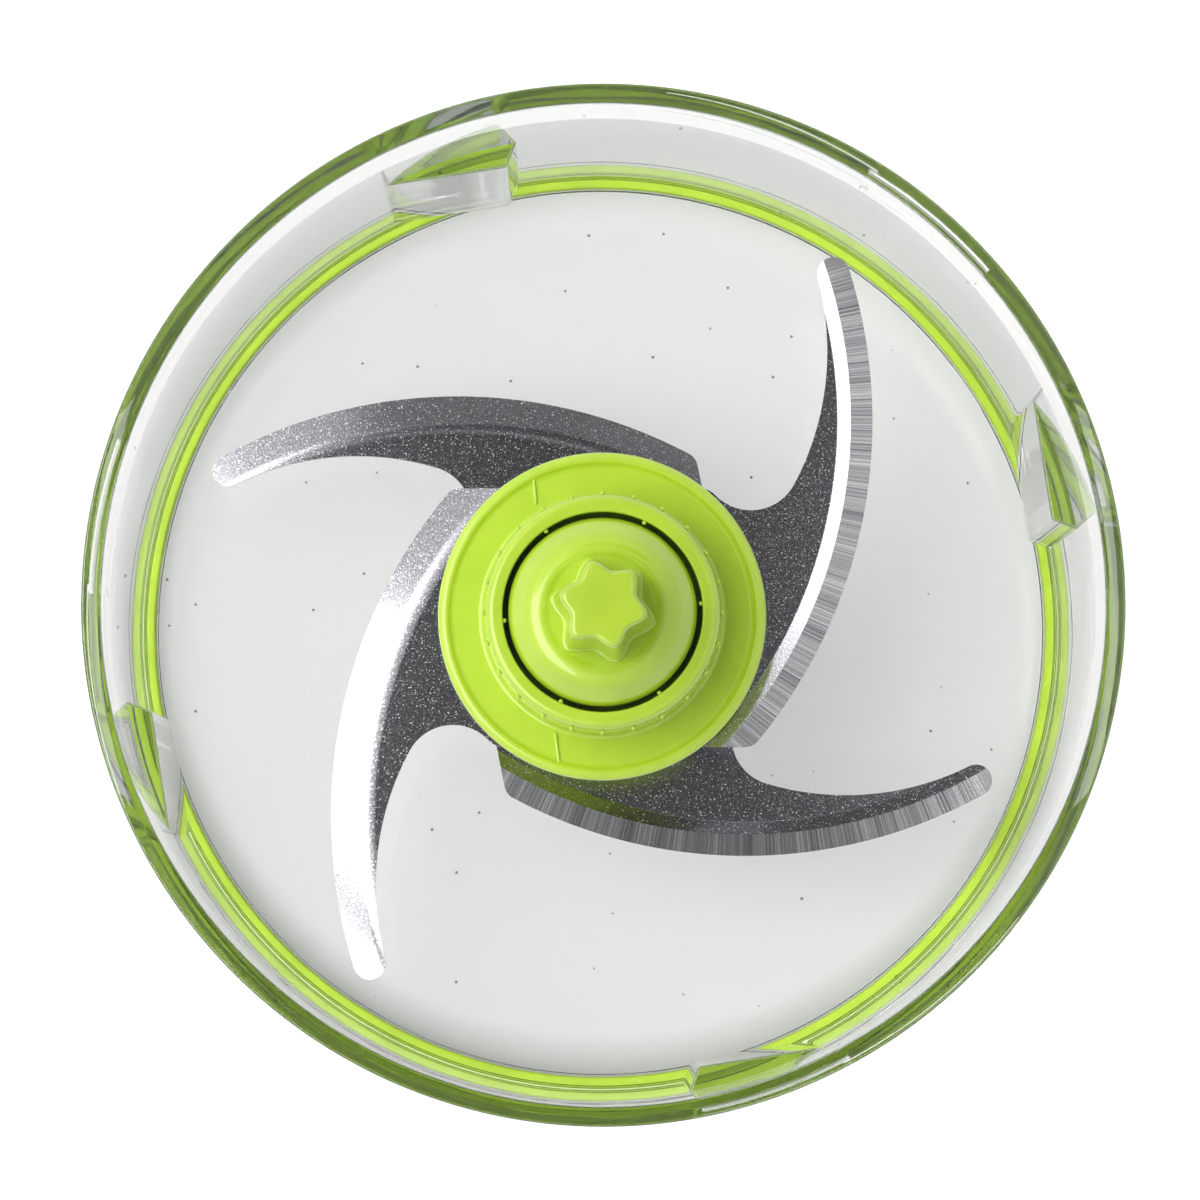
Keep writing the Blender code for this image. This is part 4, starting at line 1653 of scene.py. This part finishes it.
@dataclass
class Blades:
    """The two S-shaped blades, each with one arm bent up and one bent down."""

    outline: BladeOutline = field(default_factory=BladeOutline)
    bend_width: float = 0.0046
    bend_angle: float = 15.0
    ground_width: float = 0.00285
    land: float = 0.00022
    bends: tuple[Rounding, Rounding] = (Rounding(0.0007, 4), Rounding(0.0095, 14))
    edge_break: float = 0.00012
    break_angle: float = 50.0
    smooth_angle: float = 9.0
    ground_slope: float = 0.5
    lower_turn: float = -78.6
    hole_radius: float = 0.0103
    hole_flat: float = 0.0089
    hole_steps: int = 32
    sheet_lap: float = 0.0003
    sheet_steps: int = 300

    @property
    def cutter_depth(self) -> float:
        """Half of the height of a plate that reaches past the bent sheet."""
        return 4 * self.outline.thickness

    def section(self, side: int) -> list[Corner]:
        """Lists the corners of the bent and ground sheet about the cutting edge's centre.

        Args:
            side: 1 for the arm that is bent up and -1 for the other.

        Returns:
            The corners of its section.
        """
        half = self.outline.thickness / 2
        radius = self.outline.edge_radius
        crease, ground = radius - self.bend_width, radius - self.ground_width
        slope = math.tan(math.radians(self.bend_angle))
        under_edge = self.bend_width * slope - half
        over_ground = half + (ground - crease) * slope
        grind = (under_edge + self.land - over_ground) / self.ground_width
        past = radius + self.sheet_lap
        crisp, soft = self.bends
        return [
            Corner(self.outline.neck_fillet, half * side),
            Corner(crease, half * side, crisp),
            Corner(ground, over_ground * side),
            Corner(past, (under_edge + self.land + grind * self.sheet_lap) * side),
            Corner(past, (under_edge + slope * self.sheet_lap) * side),
            Corner(crease, -half * side, soft),
            Corner(self.outline.neck_fillet, -half * side),
        ]

    def arm(self, side: int) -> Workpiece:
        """Models one arm: the half outline kept within the bent sheet.

        Args:
            side: 1 for the arm that is bent up and -1 for the other, which is half a turn on.

        Returns:
            The arm.
        """
        plate = self.outline.half_plate(self.cutter_depth)
        sheet = Workpiece.turned(
            "bent_sheet", self.section(side), self.sheet_steps, ring=True, centre=self.outline.edge
        )
        plate.join(sheet, Joining.KEEP_COMMON)
        if side > 0:
            return plate
        turned = plate.copy_turned(180.0)
        bpy.data.objects.remove(plate.obj)
        return turned

    def blank(self) -> Workpiece:
        """Models a whole blade without its hole, at the origin.

        Returns:
            The blank, mapped and with its ground faces marked.
        """
        blank = self.arm(1)
        blank.join(self.arm(-1), Joining.UNITE)
        blank.soften_edges(self.edge_break, angle=self.break_angle)
        self.map_faces(blank)
        return blank

    def map_faces(self, blank: Workpiece) -> None:
        """Maps each face along and across its cutting edge, and marks the ground ones.

        Args:
            blank: The blade at the origin.
        """
        mesh = bmesh.new()
        mesh.from_mesh(blank.obj.data)
        chart = mesh.loops.layers.uv.new("along_edge")
        ground = self.outline.edge_radius - self.ground_width - WELD
        for face in mesh.faces:
            middle = face.calc_center_median()
            side = 1 if middle.x > 0 else -1
            centre = self.outline.edge * side
            for loop in face.loops:
                flat = (loop.vert.co - centre).to_2d()
                along = math.atan2(flat.y * side, flat.x * side) * self.outline.edge_radius
                loop[chart].uv = (along, flat.length)
            over_edge = (middle - centre).to_2d().length > ground
            face.material_index = int(over_edge and face.normal.z * side > self.ground_slope)
        mesh.to_mesh(blank.obj.data)
        mesh.free()

    def hole(self) -> Workpiece:
        """Models the cutter for the keyed hole.

        Returns:
            The cutter.
        """
        level = Vector((0.0, 0.0, -self.cutter_depth))
        limit = math.degrees(math.asin(self.hole_flat / self.hole_radius))
        start = polar(self.hole_radius, -limit, level)
        piece = Workpiece.start("hole", start)
        with piece.editing():
            piece.arc(level, 2 * limit, self.hole_steps)
            piece.line_to(polar(self.hole_radius, 180.0 - limit, level))
            piece.arc(level, 2 * limit, self.hole_steps)
            piece.line_to(start)
            piece.fill(2 * self.cutter_depth)
        return piece

    def build(self, finishes: Finishes) -> list[bpy.types.Object]:
        """Models both blades.

        Args:
            finishes: The materials.

        Returns:
            The finished blades, upper then lower.
        """
        blank = self.blank()
        blank.join(self.hole(), Joining.CUT)
        made = []
        for name, node, turn in (
            ("upper_s_blade", "upper_blade", 0.0),
            ("lower_s_blade", "lower_blade", self.lower_turn),
        ):
            blade = blank.copy_turned(turn)
            low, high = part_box(node)
            blade.obj.location.z = (low.z + high.z) / 2
            blade.apply_place()
            blade.obj.name = blade.obj.data.name = name
            steels = [finishes.sheet, finishes.ground]
            made.append(
                blade.finish(Body.BLADES, [node], "blade_steel", steels, self.smooth_angle)
            )
        bpy.data.objects.remove(blank.obj)
        return made


@dataclass(frozen=True)
class Board:
    """Level board over the bowl that only reflections and clear plastic see."""

    name: str
    middle: tuple[float, float, float]
    size: tuple[float, float]
    strength: float

    def hang(self) -> None:
        """Hangs the board, as bright as its strength against 1 for the white studio."""
        Workpiece.clear_bench()
        bpy.ops.mesh.primitive_plane_add(size=1.0, location=self.middle)
        made = bpy.context.object
        made.name = made.data.name = self.name
        made.scale = (*self.size, 1.0)
        material, tree, output = new_tree(self.name + "_face")
        glow = add_node(tree, "ShaderNodeEmission", inputs={"Strength": self.strength})
        tree.links.new(glow.outputs[0], output.inputs[0])
        made.data.materials.append(material)
        made.visible_camera = False
        made.visible_shadow = False
        made.visible_diffuse = False


@dataclass
class Studio:
    """White table under a large window light from the left, with flags and cards overhead."""

    floor_size: float = 12.0
    floor_colour: str = "#8b8b8b"
    # Glow of the table for camera, gloss and clear rays: painted shade under the bowl, a darker
    # painted contact shadow in a ring round the foot ring, white beyond; the rings are centred a
    # little off the axis
    glow_and_painted_shade: tuple[float, float, float] = (0.55, 0.20, 1.0)
    painted_shade_centre: tuple[float, float, float] = (0.0004, 0.0040, 0.0)
    shade_radius: tuple[float, float] = (0.0590, 0.0650)
    painted_shade_edge: tuple[float, float] = (0.0692, 0.0716)
    world_light: float = 0.41
    key_power: float = 24.0
    key_size: float = 1.4
    key_distance: float = 1.6
    key_azimuth: float = 167.0
    key_elevation: float = 58.0
    boards: tuple[Board, ...] = (
        Board("ceiling_flag", (0.0, 0.0, 1.4), (0.40, 0.90), 0.06),
        Board("left_card", (-0.159, 0.066, 1.39), (0.020, 0.136), 4.5),
        Board("right_card", (0.172, 0.066, 1.39), (0.020, 0.136), 4.5),
        Board("far_flag", (0.055, 0.245, 0.39), (0.30, 0.19), 0.10),
        Board("window_card", (-0.27, -0.10, 0.39), (0.3, 0.41), 5.0),
    )
    camera_place: tuple[float, float, float] = (-0.0041, -0.04033, 0.882)
    camera_slope: tuple[float, float] = (0.00458, 0.05088)
    camera_reach: tuple[float, float] = (0.01, 50.0)
    focal_pixels: float = 6436.8
    picture_pixels: float = 1200.0
    sensor: float = 36.0
    bounces: int = 48
    clear_bounces: int = 32
    gloss_bounces: int = 40
    shadow_bounces: int = 24

    def set_view(self) -> None:
        """Sets how colours are shown, and lets light pass often enough through clear walls."""
        scene = bpy.context.scene
        scene.view_settings.view_transform = "Standard"
        scene.cycles.max_bounces = self.bounces
        scene.cycles.transmission_bounces = self.clear_bounces
        scene.cycles.glossy_bounces = self.gloss_bounces
        scene.cycles.transparent_max_bounces = self.shadow_bounces

    def camera(self) -> None:
        """Places the camera high over the bowl, a little to the near side."""
        data = bpy.data.cameras.new("photo_view")
        data.sensor_width = self.sensor
        data.lens = self.sensor * self.focal_pixels / self.picture_pixels
        data.clip_start, data.clip_end = self.camera_reach
        made = bpy.data.objects.new("photo_view", data)
        bpy.context.scene.collection.objects.link(made)
        made.location = self.camera_place
        back = -Vector((*self.camera_slope, -1.0)).normalized()
        right = Vector((0.0, 1.0, 0.0)).cross(back).normalized()
        axes = Matrix((right, back.cross(right), back)).transposed()
        made.rotation_euler = axes.to_euler()
        bpy.context.scene.camera = made

    def white_rays(self, tree: bpy.types.NodeTree) -> bpy.types.Node:
        """Finds whether a ray comes from the camera, a gloss or clear plastic.

        Args:
            tree: Where the nodes go.

        Returns:
            Node that gives 1 for such a ray and 0 for the light that falls on a surface.
        """
        rays = add_node(tree, "ShaderNodeLightPath").outputs
        seen = add_node(
            tree, "ShaderNodeMath", {"operation": "MAXIMUM"},
            {0: rays["Is Camera Ray"], 1: rays["Is Glossy Ray"]},
        )
        return add_node(
            tree, "ShaderNodeMath", {"operation": "MAXIMUM"},
            {0: seen, 1: rays["Is Transmission Ray"]},
        )

    def world(self) -> None:
        """Makes the world: white to the eye, and a plain even light on the object."""
        world = bpy.data.worlds.new("white_studio")
        world.use_nodes = True
        tree = world.node_tree
        tree.nodes.clear()
        strength = add_node(
            tree, "ShaderNodeMapRange",
            inputs={"Value": self.white_rays(tree), "To Min": self.world_light, "To Max": 1.0},
        )
        shade = add_node(
            tree, "ShaderNodeBackground", inputs={"Color": linear("#ffffff"), "Strength": strength}
        )
        output = add_node(tree, "ShaderNodeOutputWorld")
        tree.links.new(shade.outputs[0], output.inputs[0])
        bpy.context.scene.world = world

    def floor(self) -> None:
        """Lays the table top, which keeps the object's shadow and glows white away from it, with
        painted shade under the bowl and a darker painted contact shadow round its foot.
        """
        Workpiece.clear_bench()
        bpy.ops.mesh.primitive_plane_add(size=self.floor_size)
        made = bpy.context.object
        made.name = made.data.name = "table_top"
        material, tree, output = new_tree("white_laminate")
        place = add_node(tree, "ShaderNodeTexCoord").outputs["Object"]
        away = add_node(
            tree, "ShaderNodeVectorMath", {"operation": "DISTANCE"}, {0: place, 1: self.painted_shade_centre}
        ).outputs["Value"]
        # Painted shade: the glow is lower under the bowl, lowest in a ring round its foot, and full
        # white beyond
        under, beside, beyond = self.glow_and_painted_shade
        painted_shade = add_node(
            tree, "ShaderNodeMapRange",
            inputs={
                "Value": away, "From Min": self.shade_radius[0], "From Max": self.shade_radius[1],
                "To Min": under, "To Max": beside,
            },
        )
        bare = add_node(
            tree, "ShaderNodeMapRange",
            inputs={
                "Value": away, "From Min": self.painted_shade_edge[0], "From Max": self.painted_shade_edge[1],
                "To Min": 0.0, "To Max": beyond,
            },
        )
        glow_and_painted_shade = add_node(tree, "ShaderNodeMath", {"operation": "MAXIMUM"}, {0: painted_shade, 1: bare})
        strength = add_node(
            tree, "ShaderNodeMath", {"operation": "MULTIPLY"}, {0: self.white_rays(tree), 1: glow_and_painted_shade}
        )
        glow = add_node(tree, "ShaderNodeEmission", inputs={"Strength": strength})
        paint = add_node(tree, "ShaderNodeBsdfDiffuse", inputs={"Color": linear(self.floor_colour)})
        both = add_node(tree, "ShaderNodeAddShader", inputs={0: paint, 1: glow})
        tree.links.new(both.outputs[0], output.inputs[0])
        made.data.materials.append(material)

    def window_light(self) -> None:
        """Hangs the square lamp of the window light, facing the bowl."""
        data = bpy.data.lights.new("window_light", "AREA")
        data.energy = self.key_power
        data.size = self.key_size
        made = bpy.data.objects.new("window_light", data)
        bpy.context.scene.collection.objects.link(made)
        rise = math.radians(self.key_elevation)
        level = polar(self.key_distance * math.cos(rise), self.key_azimuth)
        made.location = level + Vector((0.0, 0.0, self.key_distance * math.sin(rise)))
        made.rotation_euler = (-made.location).to_track_quat("-Z", "Y").to_euler()
        made.visible_camera = False
        made.visible_glossy = False

    def build(self) -> None:
        """Sets up the view, camera, table, lamp and boards."""
        self.set_view()
        self.camera()
        self.world()
        self.floor()
        self.window_light()
        for board in self.boards:
            board.hang()


def main() -> None:
    """Builds the studio and every piece of the chopper."""
    logging.basicConfig(level=logging.INFO, format="%(name)s: %(message)s")
    Studio().build()
    finishes = make_finishes()
    ClearBowl().build(finishes)
    FootRing().build(finishes)
    DriveUnit().build(finishes)
    Hub().build(finishes)
    CarrierRing("spacer", "spacer_sleeve").build(finishes)
    CarrierRing("end_collar", "bottom_collar", chamfer=0.0020).build(finishes)
    Blades().build(finishes)


if __name__ == "__main__":
    main()
